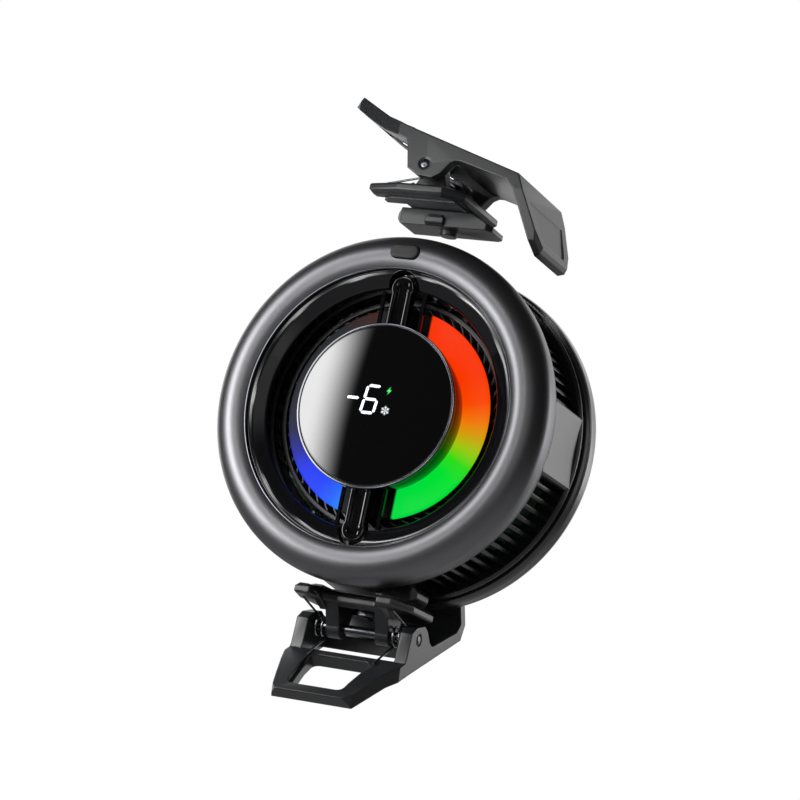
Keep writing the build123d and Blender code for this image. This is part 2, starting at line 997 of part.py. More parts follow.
# Rear housing
def make_rear_housing():
    shoulder_radius = ring_radius - housing_shoulder
    groove_back = waist_back + shadow_depth
    shoulder_back = groove_back + housing_shoulder_depth
    bend = sqrt(1 / 2)
    curve = (housing_shoulder**2 + housing_shoulder_depth**2) / (2 * housing_shoulder)
    half_turn = asin(housing_shoulder_depth / curve) / 2
    shoulder_way = (
        ring_radius - curve * (1 - cos(half_turn)),
        shoulder_back - curve * sin(half_turn),
    )
    edge_way = (
        ring_radius - housing_edge * (1 - bend),
        housing_back - housing_edge * (1 - bend),
    )
    wall_radius = ring_radius - housing_wall
    front_back = waist_back + housing_front_wall
    shell = turned(
        section(
            (housing_front_inner, waist_back),
            (shadow_radius, waist_back),
            (shadow_radius, groove_back),
            (shoulder_radius, groove_back),
            (shoulder_way, (ring_radius, shoulder_back)),
            (ring_radius, housing_back - housing_edge),
            (edge_way, (ring_radius - housing_edge, housing_back)),
            (housing_inner_radius, housing_back),
            (housing_inner_radius, housing_back - housing_wall),
            (wall_radius, housing_back - housing_wall),
            (wall_radius, front_back),
            (housing_front_inner, front_back),
        )
    )
    boss = rod(
        rear_boss_radius, waist_back, housing_back - housing_wall, rear_screw_place, 0
    )
    shell += spread(boss, rear_screw_count, first_screw_angle)
    hole = rod(rear_screw_radius, 0, total_depth, rear_screw_place, 0)
    sink = rod(
        rear_head_radius + fit_gap,
        housing_back - rear_head - fit_gap,
        total_depth,
        rear_screw_place,
        0,
    )
    shell -= spread(hole, rear_screw_count, first_screw_angle)
    return shell - spread(sink, rear_screw_count, first_screw_angle)


def make_rear_screws():
    head_front = housing_back - rear_head - fit_gap
    screw = rod(rear_head_radius, head_front, head_front + rear_head, rear_screw_place, 0)
    screw += rod(
        rear_screw_radius,
        louver_back + seat_gap,
        head_front + rear_head,
        rear_screw_place,
        0,
    )
    return Compound(
        children=[c for one in spread(screw, rear_screw_count, first_screw_angle) for c in one.solids()]
    )


# Electronics
def make_main_board():
    outer = rear_flange_inner - main_board_gap
    return hoop(outer - main_board_width, outer, board_front(), waist_back)


def make_usb_port():
    middle = port_depth()
    face = -panel_face + port_inset
    long_slot = Rot(0, 0, 90) * SlotOverall(port_width, port_height)
    bore_slot = Rot(0, 0, 90) * SlotOverall(
        port_width - 2 * port_wall, port_height - 2 * port_wall
    )
    shell = extrude(Plane.YZ.offset(face) * Pos(middle, 0) * long_slot, port_length)
    bore = extrude(
        Plane.YZ.offset(face) * Pos(middle, 0) * bore_slot, port_length - port_back_wall
    )
    half_tongue = port_tongue_width / 2
    tongue = block(
        face + port_back_wall,
        face + port_length - port_back_wall / 2,
        middle - port_tongue_thick / 2,
        middle + port_tongue_thick / 2,
        -half_tongue,
        half_tongue,
    )
    return shell - bore + tongue


# Power button
def make_power_button():
    front = ring_crest - button_proud
    cap = front_view(pill(button_length, button_height, 0, button_place), front, button_back)
    reach = button_length / 2 + button_ear
    ear_half = button_ear_height / 2
    ears = block(
        -reach,
        reach,
        button_ear_front,
        button_back,
        button_place - ear_half,
        button_place + ear_half,
    )
    return cap + ears


def switch_front():
    return button_back + button_travel + switch_gap


def button_board_front():
    return switch_front() + switch_plunger + switch_depth


def make_button_switch():
    front = switch_front()
    body = block(
        -switch_width / 2,
        switch_width / 2,
        front + switch_plunger,
        button_board_front(),
        button_place - switch_height / 2,
        button_place + switch_height / 2,
    )
    return body + rod(
        switch_plunger_radius, front, front + switch_plunger, 0, button_place
    )


def make_button_board():
    front = button_board_front()
    board = block(
        -button_board_width / 2,
        button_board_width / 2,
        front,
        front + button_board_thick,
        0,
        ring_radius,
    )
    inner = ring_inner_radius + ring_wall + fit_gap
    outer = ring_radius - ring_wall - 2 * fit_gap
    return board & hoop(inner, outer, front, front + button_board_thick)


# Seats of the clips, drawn for the upper one
def make_clip_seat():
    inner = louver_inner_radius - seat_bottom_drop
    reach = seat_rail_reach
    slope = sin(radians(seat_zone)) / cos(radians(seat_zone))
    edge = louver_thick
    bottom = inner * cos(radians(seat_zone))
    wedge = corners(
        (-bottom * slope + edge, bottom),
        (bottom * slope - edge, bottom),
        (reach * slope - edge, reach),
        (-reach * slope + edge, reach),
    )
    body = front_view(wedge, louver_front, louver_back)
    body &= rod(reach, louver_front, louver_back)
    front = swivel_depth - pocket_half
    back = swivel_depth + pocket_half
    body -= block(-reach, reach, front, back, seat_floor, reach + overrun)
    stud = post(
        stud_radius + stud_gap,
        seat_floor - stud_length - stud_gap,
        seat_floor + overrun,
        0,
        swivel_depth,
    )
    body -= stud
    key_room = key_width / 2 + stud_gap
    return body - block(
        key_place - key_room,
        key_place + key_room,
        front - key_depth - stud_gap,
        front + overrun,
        seat_floor,
        reach + overrun,
    )


# Clip pieces, drawn for a clip that is plugged into the upper seat. The swivel
# axis is upright at depth zero, and the jaw points backwards.
def make_foot():
    nose = foot_nose
    profile = corners(
        (foot_front_end, foot_bottom + nose),
        (foot_front_end + nose, foot_bottom),
        (foot_rear_end, foot_bottom),
        (foot_rear_end, foot_end_height),
        (foot_slope_start, foot_top),
        (foot_front_end + nose, foot_top),
        (foot_front_end, foot_top - nose),
    )
    body = front_view(profile, -foot_half, foot_half)
    outline = [
        (foot_front_end, -foot_half + nose),
        (foot_front_end + nose, -foot_half),
        (foot_rear_end - nose, -foot_half),
        (foot_rear_end, -foot_half + nose),
        (foot_rear_end, foot_half - nose),
        (foot_rear_end - nose, foot_half),
        (foot_front_end + nose, foot_half),
        (foot_front_end, foot_half - nose),
    ]
    body &= plan_view(corners(*outline), foot_bottom - overrun, foot_top + overrun)
    body += post(stud_radius, foot_bottom - stud_length, foot_bottom + nose)
    body += foot_key()
    body += post(boss_radius, foot_top - nose, boss_top())
    return body - post(screw_shank_radius, boss_top() - screw_depth, boss_top() + overrun)


def foot_key():
    """The key on the foot's front: a narrow neck above a wider, sloped head."""
    neck = block(
        key_place - key_neck_width / 2,
        key_place + key_neck_width / 2,
        -foot_half - key_neck_depth,
        0,
        foot_bottom + stud_gap,
        foot_top - foot_nose,
    )
    head_bottom = foot_bottom + stud_gap
    head = side_view(
        corners(
            (0, head_bottom),
            (key_neck_depth - foot_half - key_depth, head_bottom),
            (-foot_half - key_depth, head_bottom + key_neck_depth),
            (-foot_half - key_depth, head_bottom + key_head_height),
            (0, head_bottom + key_head_height),
        ),
        key_place - key_width / 2,
        key_place + key_width / 2,
    )
    return neck + head


def boss_top():
    return plate_top + boss_slack


def make_swivel_screw():
    top = boss_top()
    screw = post(screw_head_radius, top, top + screw_head)
    screw += post(screw_shank_radius, top - screw_depth, top)
    half = screw_slot / 2
    reach = screw_head_radius * screw_slot_share
    ceiling = top + screw_head + overrun
    floor = top + screw_head - screw_slot_depth
    screw -= block(-reach, reach, -half, half, floor, ceiling)
    return screw - block(-half, half, -reach, reach, floor, ceiling)


def from_pin(y, z):
    """A point given from the pin, in depth and height."""
    return (pin_depth + y, pin_height + z)


def plate_outline():
    """The plate from above, with two tabs and a notch between them."""
    right = [
        (plate_rear_half, pin_depth + plate_rear),
        (plate_half, pin_depth + plate_side_rear),
        (plate_half, pin_depth - plate_side_front),
        (tab_outer, pin_depth - plate_front),
        (tab_inner, pin_depth - plate_front),
        (tab_inner - notch_corner / 2, pin_depth - notch_back - notch_corner),
        (tab_inner - 2 * notch_corner, pin_depth - notch_back),
    ]
    return corners(*mirrored(right))


def make_bracket():
    bracket = plan_view(plate_outline(), plate_bottom, plate_top)
    bracket = chamfer(bracket.faces().sort_by(Axis.Z)[-1].edges(), plate_top_edge)
    bracket = chamfer(bracket.faces().sort_by(Axis.Z)[0].edges(), plate_bottom_edge)
    leg = corners(
        (pin_depth - leg_front, plate_top - plate_thick / 2),
        (pin_depth + leg_rear, plate_top - plate_thick / 2),
        (pin_depth + knuckle_radius, pin_height),
        (pin_depth - knuckle_radius, pin_height),
    )
    for side in (1, -1):
        span = sorted((side * knuckle_inner, side * knuckle_outer))
        bracket += side_view(leg, *span)
        bracket += pin_along(knuckle_radius, *span, pin_depth, pin_height)
        wall = sorted((side * (tab_inner - gusset_thick / 2), side * (tab_inner + gusset_thick / 2)))
        gusset = corners(
            (pin_depth - plate_front + gusset_thick, plate_top - plate_thick / 2),
            (pin_depth - knuckle_radius - gusset_thick, plate_top + bridge_height / 2),
            (pin_depth - knuckle_radius - gusset_thick, plate_top - plate_thick / 2),
        )
        bracket += side_view(gusset, *wall)
    front = pin_depth - leg_front
    bridge = front_view(
        corners(
            (-knuckle_outer, plate_top - plate_thick / 2),
            (knuckle_outer, plate_top - plate_thick / 2),
            (knuckle_outer, plate_top + bridge_height),
            (-knuckle_outer, plate_top + bridge_height),
        ),
        front,
        front + bridge_thick,
    )
    arch = front_view(
        rounded(
            [
                (-knuckle_inner, plate_top + bridge_sill),
                (knuckle_inner, plate_top + bridge_sill),
                (knuckle_inner, pin_height + overrun),
                (-knuckle_inner, pin_height + overrun),
            ],
            bridge_corner,
        ),
        front - overrun,
        front + bridge_thick + overrun,
    )
    trimmed = bridge - arch
    slope = side_view(
        corners(
            (pin_depth - leg_front, plate_bottom),
            (pin_depth + leg_rear, plate_bottom),
            (pin_depth + knuckle_radius, pin_height),
            (pin_depth - knuckle_radius, pin_height),
        ),
        -knuckle_outer,
        knuckle_outer,
    )
    bracket += trimmed & slope
    bore = boss_radius + pivot_gap
    bracket -= post(bore, plate_bottom - overrun, plate_top + overrun)
    bracket -= post(
        screw_head_radius + run_gap, plate_top, plate_top + boss_slack + screw_head + run_gap
    )
    return bracket - pin_along(
        pin_radius + pivot_gap,
        -knuckle_outer - overrun,
        knuckle_outer + overrun,
        pin_depth,
        pin_height,
    )


def make_base_pad():
    front = pin_depth - plate_front * strip_front_share
    back = pin_depth + plate_rear * strip_rear_share
    corner = strip_half - (plate_half - tab_outer)
    face = corners(
        (-corner, front),
        (corner, front),
        (strip_half, front + plate_half - tab_outer),
        (strip_half, back),
        (-strip_half, back),
        (-strip_half, front + plate_half - tab_outer),
    )
    notch = corners(
        (-tab_inner + notch_corner, front - overrun),
        (tab_inner - notch_corner, front - overrun),
        (tab_inner - notch_corner, pin_depth - notch_back),
        (-tab_inner + notch_corner, pin_depth - notch_back),
    )
    strip = plan_view(face, plate_bottom - strip_thick, plate_bottom)
    strip -= plan_view(notch, plate_bottom - strip_thick - overrun, plate_bottom + overrun)
    return strip - post(boss_radius + run_gap, 0, plate_top)


def make_hinge_pin():
    return pin_along(pin_radius, -lever_half, lever_half, pin_depth, pin_height)


def handle_point(reach_share, rise_share):
    """A point on the handle, in shares of its reach and rise from the pin."""
    return from_pin(-reach_share * handle_reach, rise_share * handle_rise)


def beam_top(y):
    """Height of the beam's straight outer edge above the pin."""
    start_y = -beam_crown_share[0] * handle_reach
    start_z = beam_crown_share[1] * handle_rise
    slope = (-bend_outer_drop - start_z) / (bend_outer_reach - start_y)
    return start_z + slope * (y - start_y)


def jaw_normal():
    """Direction out of the jaw's outer face, in depth and height."""
    run = jaw_reach - bend_inner_reach
    fall = jaw_drop - bend_inner_drop
    length = hypot(run, fall)
    return fall / length, run / length


def make_lever():
    normal_y, normal_z = jaw_normal()
    tip = (jaw_reach + jaw_thick * normal_y, -jaw_drop + jaw_thick * normal_z)
    handle = corners(
        *[handle_point(*s) for s in handle_top_shares],
        *[handle_point(*s) for s in handle_bottom_shares],
    )
    beam = corners(
        from_pin(beam_start, beam_top(beam_start)),
        from_pin(bend_outer_reach, -bend_outer_drop),
        from_pin(*tip),
        from_pin(jaw_reach, -jaw_drop),
        from_pin(bend_inner_reach, -bend_inner_drop),
        from_pin(beam_end_reach, -beam_end_drop),
        from_pin(cheek_shares[-1][0] * cheek_reach, cheek_shares[-1][1] * handle_rise),
        from_pin(beam_start, cheek_shares[-1][1] * handle_rise + bend_outer_drop),
    )
    cheek = corners(
        *[from_pin(y * cheek_reach, z * handle_rise) for y, z in cheek_shares],
        from_pin(cheek_reach, beam_top(cheek_reach)),
        handle_point(*beam_crown_share),
        handle_point(*handle_top_shares[-2]),
    )
    lever = side_view(handle, -lever_half, lever_half)
    lever += side_view(beam, -lever_half, lever_half)
    for side in (1, -1):
        lever += side_view(cheek, *sorted((side * cheek_inner, side * lever_half)))
    lever -= handle_trim()
    lever -= handle_loop()
    lever -= jaw_trim()
    lever = chamfer(jaw_rim(lever), jaw_bevel)
    lever -= jaw_panel()
    lever -= jaw_pad_shape(0)
    lever -= pin_along(
        pin_radius, -lever_half - overrun, lever_half + overrun, pin_depth, pin_height
    )
    for side in (1, -1):
        mark = sorted((side * (lever_half - ring_mark_depth), side * (lever_half + overrun)))
        lever -= pin_along(ring_mark_radius, *mark, pin_depth, pin_height)
    return lever


def handle_trim():
    """What is cut off both sides of the handle, seen from above."""
    front = pin_depth - handle_reach
    shoulder = pin_depth - handle_shoulder_share * handle_reach
    wedge = corners(
        (lever_half, shoulder),
        (handle_tip_half, front + handle_chamfer),
        (handle_front_half, front),
        (handle_front_half, front - overrun),
        (lever_half + overrun, front - overrun),
        (lever_half + overrun, shoulder),
    )
    cut = plan_view(wedge, pin_height, pin_height + handle_rise + overrun)
    return cut + mirror(cut, Plane.YZ)


def loop_plane(offset):
    """Plane along the handle. Its x is the width and its y runs up the handle."""
    slant = radians(loop_tilt)
    share, rise = handle_bottom_shares[2]
    y, z = handle_point(share, rise)
    origin = (0, y + offset * sin(slant), z + offset * cos(slant))
    return Plane(origin=origin, x_dir=(-1, 0, 0), z_dir=(0, sin(slant), cos(slant)))


def loop_face(margin):
    """The finger opening in the plane of the handle, widened by the margin."""
    slant = radians(loop_tilt)
    middle = handle_bottom_shares[2][0] * handle_reach
    front = (loop_front_share * handle_reach - middle) / cos(slant) + margin
    rear = (loop_rear_share * handle_reach - middle) / cos(slant) - margin
    front_half = loop_front_half + margin
    rear_half = loop_rear_half + margin
    return rounded(
        [(-front_half, front), (front_half, front), (rear_half, rear), (-rear_half, rear)],
        loop_corner,
    )


def handle_loop():
    """The finger opening, with a wider step on the side that faces the plate."""
    hole = extrude(loop_plane(-handle_rise) * loop_face(0), 2 * handle_rise)
    step = extrude(loop_plane(-handle_rise) * loop_face(loop_step), handle_rise + loop_step_depth)
    return hole + (step & loop_zone())


def loop_zone():
    """Keeps the step between the cheeks and the handle's tip."""
    front = pin_depth - handle_reach + loop_rail
    rear = pin_depth - loop_rear_share * handle_reach
    return block(-lever_half, lever_half, front, rear, pin_height, pin_height + handle_rise)


def jaw_trim():
    """What is cut off both sides of the jaw, seen from the front."""
    start = pin_height - bend_inner_drop
    foot = pin_height - jaw_drop
    wedge = corners(
        (lever_half, start),
        (jaw_tip_half, foot + jaw_chamfer),
        (jaw_end_half, foot),
        (jaw_end_half, foot - overrun),
        (lever_half + overrun, foot - overrun),
        (lever_half + overrun, start),
    )
    back = pin_depth + jaw_reach + jaw_thick
    cut = front_view(wedge, pin_depth + beam_end_reach, back + overrun)
    return cut + mirror(cut, Plane.YZ)


def jaw_plane(offset):
    """Plane along the jaw's inner face, moved outwards by the offset. Its x is the
    width and its y runs from the bend to the tip."""
    normal_y, normal_z = jaw_normal()
    base_y, base_z = from_pin(bend_inner_reach, -bend_inner_drop)
    origin = (0, base_y + offset * normal_y, base_z + offset * normal_z)
    return Plane(origin=origin, x_dir=(1, 0, 0), z_dir=(0, normal_y, normal_z))


def jaw_length():
    return hypot(jaw_reach - bend_inner_reach, jaw_drop - bend_inner_drop)


def jaw_rim(lever):
    """Edges round the jaw's outer face, but for the bend."""
    plane = jaw_plane(jaw_thick)
    rim = []
    for edge in lever.edges():
        ends = [plane.to_local_coords(Vector(edge @ share)) for share in (0, 1)]
        in_plane = all(abs(end.Z) < pivot_gap for end in ends)
        below_bend = max(end.Y for end in ends) > jaw_bevel
        if in_plane and below_bend:
            rim.append(edge)
    return rim


def jaw_face(margin, start):
    """The jaw's outline in its own plane, drawn in by the margin."""
    length = jaw_length()
    tip = length - margin
    chamfer = jaw_chamfer
    top_half = lever_half - margin
    narrowing = (lever_half - jaw_tip_half) / (length - chamfer)
    return corners(
        *mirrored(
            [
                (top_half - narrowing * start, start),
                (jaw_tip_half - margin, length - chamfer - margin / 2),
                (jaw_end_half - margin / 2, tip),
            ]
        )
    )


def jaw_panel():
    """The shallow panel in the jaw's outer face."""
    face = jaw_face(jaw_border, jaw_border)
    return extrude(jaw_plane(jaw_thick) * face, overrun) + extrude(
        jaw_plane(jaw_thick - jaw_recess) * face, jaw_recess
    )


def jaw_pad_shape(gap):
    """The soft pad let into the jaw's inner face."""
    face = jaw_face(jaw_pad_margin, 2 * jaw_pad_margin)
    return extrude(jaw_plane(gap) * face, jaw_pad_thick - gap)


def make_jaw_pad():
    return jaw_pad_shape(0)


# Torsion spring
def tangent_angle(y, z, sense):
    """Angle on the coil where a straight leg to the point (y, z) touches it."""
    distance = hypot(y, z)
    return atan2(z, y) + sense * acos(spring_radius / distance)


def biarc(start, start_way, end, end_way):
    """Two arcs that join two points with the given directions."""
    chord = end - start
    total = start_way + end_way
    spare = 2 * (1 - start_way.dot(end_way))
    along = chord.dot(total)
    reach = (-along + sqrt(along**2 + spare * chord.dot(chord))) / spare
    first = start + start_way * reach
    second = end - end_way * reach
    middle = (first + second) / 2
    way = (second - first).normalized()
    return [
        Edge.make_tangent_arc(start, start_way, middle),
        Edge.make_tangent_arc(middle, way, end),
    ]


def spring_path(turn):
    """Centre line of the right spring: a leg on the plate, the coil, a leg under
    the handle of a lever that is closed further by the turn."""
    plate_z = plate_top - pin_height + wire / 2 + spring_touch_gap
    high_share = handle_bottom_shares[2]
    low_share = handle_bottom_shares[1]
    run = (high_share[0] - low_share[0]) * handle_reach
    slope = (high_share[1] - low_share[1]) * handle_rise / run
    web_y = -spring_handle_share * handle_reach
    web_z = low_share[1] * handle_rise - slope * (web_y + low_share[0] * handle_reach)
    web_z -= (wire / 2 + 2 * spring_touch_gap) * sqrt(1 + slope**2)
    first = tangent_angle(-spring_bracket_reach, plate_z, 1)
    last = tangent_angle(web_y, web_z, -1) - radians(turn)
    while last < first:
        last += 2 * pi
    last += 2 * pi * spring_turns
    outer_x = cheek_inner - spring_side_gap - wire / 2
    inner_x = knuckle_outer + spring_side_gap + wire / 2
    step = (last - first) / spring_steps
    rate = (outer_x - inner_x) / (spring_steps - 1)
    points, ways = [], []
    x = outer_x
    for i in range(spring_steps + 1):
        angle = first + i * step
        inside = 0 < i < spring_steps
        if i > 0:
            full = 1 < i < spring_steps
            x -= rate if full else rate / 2
        y, z = from_pin(spring_radius * cos(angle), spring_radius * sin(angle))
        points.append(Vector(x, y, z))
        drift = -rate / step if inside else 0
        way = Vector(drift, -spring_radius * sin(angle), spring_radius * cos(angle))
        ways.append(way.normalized())
    tip_y, tip_z = from_pin(-spring_bracket_reach, plate_z)
    end_y, end_z = from_pin(*turned_back(web_y, web_z, turn))
    edges = [Edge.make_line(Vector(outer_x, tip_y, tip_z), points[0])]
    for i in range(spring_steps):
        edges += biarc(points[i], ways[i], points[i + 1], ways[i + 1])
    edges.append(Edge.make_line(points[-1], Vector(inner_x, end_y, end_z)))
    return edges


def turned_back(y, z, turn):
    """A point beside the pin after the lever has closed by the turn."""
    angle = -radians(turn)
    return y * cos(angle) - z * sin(angle), y * sin(angle) + z * cos(angle)


def spring_clearance(edges):
    """Least gap between two stretches of the wire that lie apart along it."""
    samples = []
    travelled = 0
    for edge in edges:
        for i in range(spring_samples):
            share = i / spring_samples
            samples.append((travelled + edge.length * share, edge @ share))
        travelled += edge.length
    apart = pi * spring_radius
    least = travelled
    for i, (here, point) in enumerate(samples):
        for there, other in samples[i + 1:]:
            if there - here > apart:
                least = min(least, (other - point).length)
    return least - wire


def make_spring(turn):
    edges = spring_path(turn)
    path = Wire(edges)
    way = (edges[0] @ 1) - (edges[0] @ 0)
    profile = Plane(origin=edges[0] @ 0, z_dir=way) * Circle(wire / 2)
    return sweep(profile, path=path)


# Clips
def upper_place():
    """The upper clip is turned a quarter, its jaw to the right, and pulled out."""
    return Pos(0, swivel_depth, upper_pulled_out) * Rot(0, 0, -90)


def upper_foot_place():
    return Pos(0, swivel_depth, upper_pulled_out)


def lower_place():
    """The lower clip is plugged in below, its jaw to the back."""
    return Rot(0, 180, 0) * Pos(0, swivel_depth, 0)


def closed(shape, turn):
    """A piece of the lever turned about the pin so that the jaw closes."""
    pin = Pos(0, pin_depth, pin_height)
    return pin * Rot(-turn, 0, 0) * pin.inverse() * shape


def write_clips():
    bracket = make_bracket()
    strip = make_base_pad()
    pin = make_hinge_pin()
    lever = make_lever()
    jaw_pad = make_jaw_pad()
    sides = {"upper": (upper_place(), upper_lever_turn), "lower": (lower_place(), lower_lever_turn)}
    for side, (place, turn) in sides.items():
        spring = make_spring(turn)
        write(side + "_bracket", place * bracket)
        write(side + "_base_pad", place * strip)
        write(side + "_hinge_pin", place * pin)
        write(side + "_lever", place * closed(lever, turn))
        write(side + "_jaw_pad", place * closed(jaw_pad, turn))
        write(side + "_spring_right", place * spring)
        write(side + "_spring_left", place * mirror(spring, Plane.YZ))
        print("least gap in a spring", round(spring_clearance(spring_path(turn)), 3))
    foot = make_foot()
    screw = make_swivel_screw()
    write("upper_foot", upper_foot_place() * foot)
    write("upper_swivel_screw", upper_foot_place() * screw)
    write("lower_foot", lower_place() * foot)
    write("lower_swivel_screw", lower_place() * screw)


def write_body():
    pieces = {
        "front_ring": make_front_ring,
        "trim_ring": make_trim_ring,
        "bezel": make_bezel,
        "display_bridge": make_display_bridge,
        "display_rim": make_display_rim,
        "display_glass": make_display_glass,
        "display_board": make_display_board,
        "light_ring": make_light_ring,
        "light_board": make_light_board,
        "impeller": make_impeller,
        "impeller_magnet": make_impeller_magnet,
        "motor_shaft": make_motor_shaft,
        "motor_bearing": make_motor_bearing,
        "stator_core": make_stator_core,
        "stator_coils": make_stator_coils,
        "fan_frame": make_fan_frame,
        "fan_screws": make_fan_screws,
        "heat_sink": make_heat_sink,
        "clamp_screws": make_clamp_screws,
        "peltier_module": make_peltier_module,
        "insulation_ring": make_insulation_ring,
        "cold_plate": make_cold_plate,
        "thermal_pad": make_thermal_pad,
        "waist_grille": make_waist_grille,
        "side_panel_right": make_side_panel,
        "side_panel_left": make_side_panel_left,
        "rear_housing": make_rear_housing,
        "rear_screws": make_rear_screws,
        "main_board": make_main_board,
        "usb_port": make_usb_port,
        "power_button": make_power_button,
        "button_switch": make_button_switch,
        "button_board": make_button_board,
    }
    for name, make in pieces.items():
        write(name, make())
    seat = make_clip_seat()
    write("clip_seat_upper", seat)
    write("clip_seat_lower", round_axis(seat, 180))


os.makedirs("parts", exist_ok=True)
write_body()
write_clips()
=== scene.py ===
import json
import math

import bmesh
import bpy
import numpy as np
from mathutils import Matrix, Vector


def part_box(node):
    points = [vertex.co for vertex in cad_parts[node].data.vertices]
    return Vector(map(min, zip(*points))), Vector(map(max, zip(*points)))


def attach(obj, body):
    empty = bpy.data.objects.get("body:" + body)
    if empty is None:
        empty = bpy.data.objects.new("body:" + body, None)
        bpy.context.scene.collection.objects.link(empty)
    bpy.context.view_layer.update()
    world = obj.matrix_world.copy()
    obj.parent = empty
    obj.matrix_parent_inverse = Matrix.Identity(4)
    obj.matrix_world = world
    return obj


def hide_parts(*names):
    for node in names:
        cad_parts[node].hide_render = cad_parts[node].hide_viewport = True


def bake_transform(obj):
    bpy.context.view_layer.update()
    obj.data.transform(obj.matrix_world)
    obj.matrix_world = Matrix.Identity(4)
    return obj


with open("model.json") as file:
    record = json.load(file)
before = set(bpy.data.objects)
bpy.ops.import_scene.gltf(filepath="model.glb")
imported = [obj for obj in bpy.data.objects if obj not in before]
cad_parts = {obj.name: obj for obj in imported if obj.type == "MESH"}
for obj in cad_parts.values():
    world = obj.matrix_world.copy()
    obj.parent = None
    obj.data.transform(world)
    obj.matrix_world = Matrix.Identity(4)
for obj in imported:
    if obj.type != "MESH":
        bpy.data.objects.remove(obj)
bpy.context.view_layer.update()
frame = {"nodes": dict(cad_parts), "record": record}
nodes = frame["nodes"]

# Front ring. One hollow moulding, a tube bent round the display and sprayed with
# gunmetal lacquer. It clips over the waist, and the power button looks out of a
# slot at its top.
MM = 0.001
DEPTH = round(-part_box("display_rim")[0][1] / MM, 2)  # from the display's rim to the cold face, the origin


def corners_of(node):
    """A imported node's lowest and highest corners in millimetres, to a hundredth, with
    the depth counted from the display's rim."""
    return np.round(np.array(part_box(node)) / MM + (0, DEPTH, 0), 2)


def span(node):
    """The radius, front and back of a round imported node, in the same millimetres."""
    low, high = corners_of(node)
    return high[0], low[1], high[1]


ring_outer, ring_front, ring_back = span("front_ring")
ring_inner = span("trim_ring")[0]
ring_steps = 360
tube = 4.2
tube_centre = (ring_outer - tube, ring_front + tube)
tube_wall = 1.5
tube_steps = 44
lip_inner = 32.9
lip_wall = 33.4
key_low, key_high = corners_of("power_button")
button_centre = (key_low[2] + key_high[2]) / 2
button_size = (6.0, round(key_high[2] - key_low[2], 2))
button_slot_gap = 0.16
slot_patch = 2.1  # half the height of the patch that is built round the slot
slot_patch_columns = 8
slot_patch_rings = 8


def in_frame(points):
    """Millimetres counted from the display become metres counted from the cold face."""
    points = np.asarray(points, float).reshape(-1, 3)
    return (points - (0, DEPTH, 0)) * MM


def spread(x, y, z):
    """Points from three coordinates, each spread over the grid that all three span."""
    return np.stack(np.broadcast_arrays(x, y, z), -1)


def arc(centre, radius, start, end, steps):
    """Points at equal angles on a circle, from one angle in degrees to another."""
    angle = np.radians(np.linspace(start, end, steps + 1))
    return np.column_stack([centre[0] + radius * np.cos(angle), centre[1] + radius * np.sin(angle)])


def soften(points, radius, steps=4, closed=True):
    """Each corner becomes an arc that touches both of its sides. Its centre lies on
    the corner's bisector, its points are the two touching points weighted by the
    sines of the angle gone and to go, and the shorter side limits its radius."""
    points = np.asarray(points, float)
    size = np.broadcast_to(np.asarray(radius, float), len(points))
    before = np.roll(points, 1, 0) - points
    after = np.roll(points, -1, 0) - points
    length_before = np.linalg.norm(before, axis=1)
    length_after = np.linalg.norm(after, axis=1)
    before /= length_before[:, None]
    after /= length_after[:, None]
    half = np.arccos(np.clip((before * after).sum(1), -1, 0.99999)) / 2
    room = np.minimum(length_before, length_after) * 0.45
    reach = np.minimum(size / np.tan(half), room)
    true_radius = reach * np.tan(half)
    bisector = before + after
    bisector /= np.maximum(np.linalg.norm(bisector, axis=1), 1e-9)[:, None]
    centre = points + bisector * (true_radius / np.sin(half))[:, None]
    first = points + before * reach[:, None] - centre
    last = points + after * reach[:, None] - centre
    turn = (np.pi - 2 * half)[:, None]
    gone = np.linspace(0, 1, steps + 1) * turn
    to_go = (1 - np.linspace(0, 1, steps + 1)) * turn
    weights = np.stack([np.sin(to_go), np.sin(gone)], -1) / np.maximum(np.sin(turn), 1e-9)[..., None]
    made = centre[:, None] + weights[..., :1] * first[:, None] + weights[..., 1:] * last[:, None]
    straight = np.isclose(turn[:, 0], 0, atol=1e-4)
    made[straight] = points[straight][:, None]
    if not closed:
        return np.vstack([points[:1], made[1:-1].reshape(-1, 2), points[-1:]])
    return made.reshape(-1, 2)


def grid_faces(rows, columns, close_rows=False, close_columns=False):
    """Quads between neighbouring points of a grid that is stored row by row."""
    row = np.arange(rows if close_rows else rows - 1)[:, None]
    column = np.arange(columns if close_columns else columns - 1)[None]
    here = row * columns
    there = (row + 1) % rows * columns
    after = (column + 1) % columns
    return np.stack([here + column, here + after, there + after, there + column], -1).reshape(-1, 4)


def turned(profile, steps=256):
    """A closed profile of radius and depth carried round the fan's axis."""
    radius, depth = np.asarray(profile, float).T
    angle = np.linspace(0, 2 * np.pi, steps, endpoint=False)[:, None]
    points = spread(radius * np.cos(angle), depth, radius * np.sin(angle))
    return in_frame(points), grid_faces(steps, len(radius), True, True)


def mend(mesh, packed=False):
    """Merges doubles. A new mesh then has its normals turned outwards, and a packed
    one, whose normals are right, loses the lines across its flat faces."""
    work = bmesh.new()
    work.from_mesh(mesh)
    bmesh.ops.remove_doubles(work, verts=work.verts, dist=2e-6)
    if packed:
        bmesh.ops.dissolve_limit(work, angle_limit=math.radians(1), verts=work.verts, edges=work.edges)
    else:
        bmesh.ops.recalc_face_normals(work, faces=work.faces)
    work.to_mesh(mesh)
    work.free()


def new_object(name, points, faces):
    """An object whose mesh has points in the frame and faces with any count of sides."""
    mesh = bpy.data.meshes.new(name)
    mesh.from_pydata(np.asarray(points).tolist(), [], [np.asarray(face).tolist() for face in faces])
    made = bpy.data.objects.new(name, mesh)
    bpy.context.collection.objects.link(made)
    return made


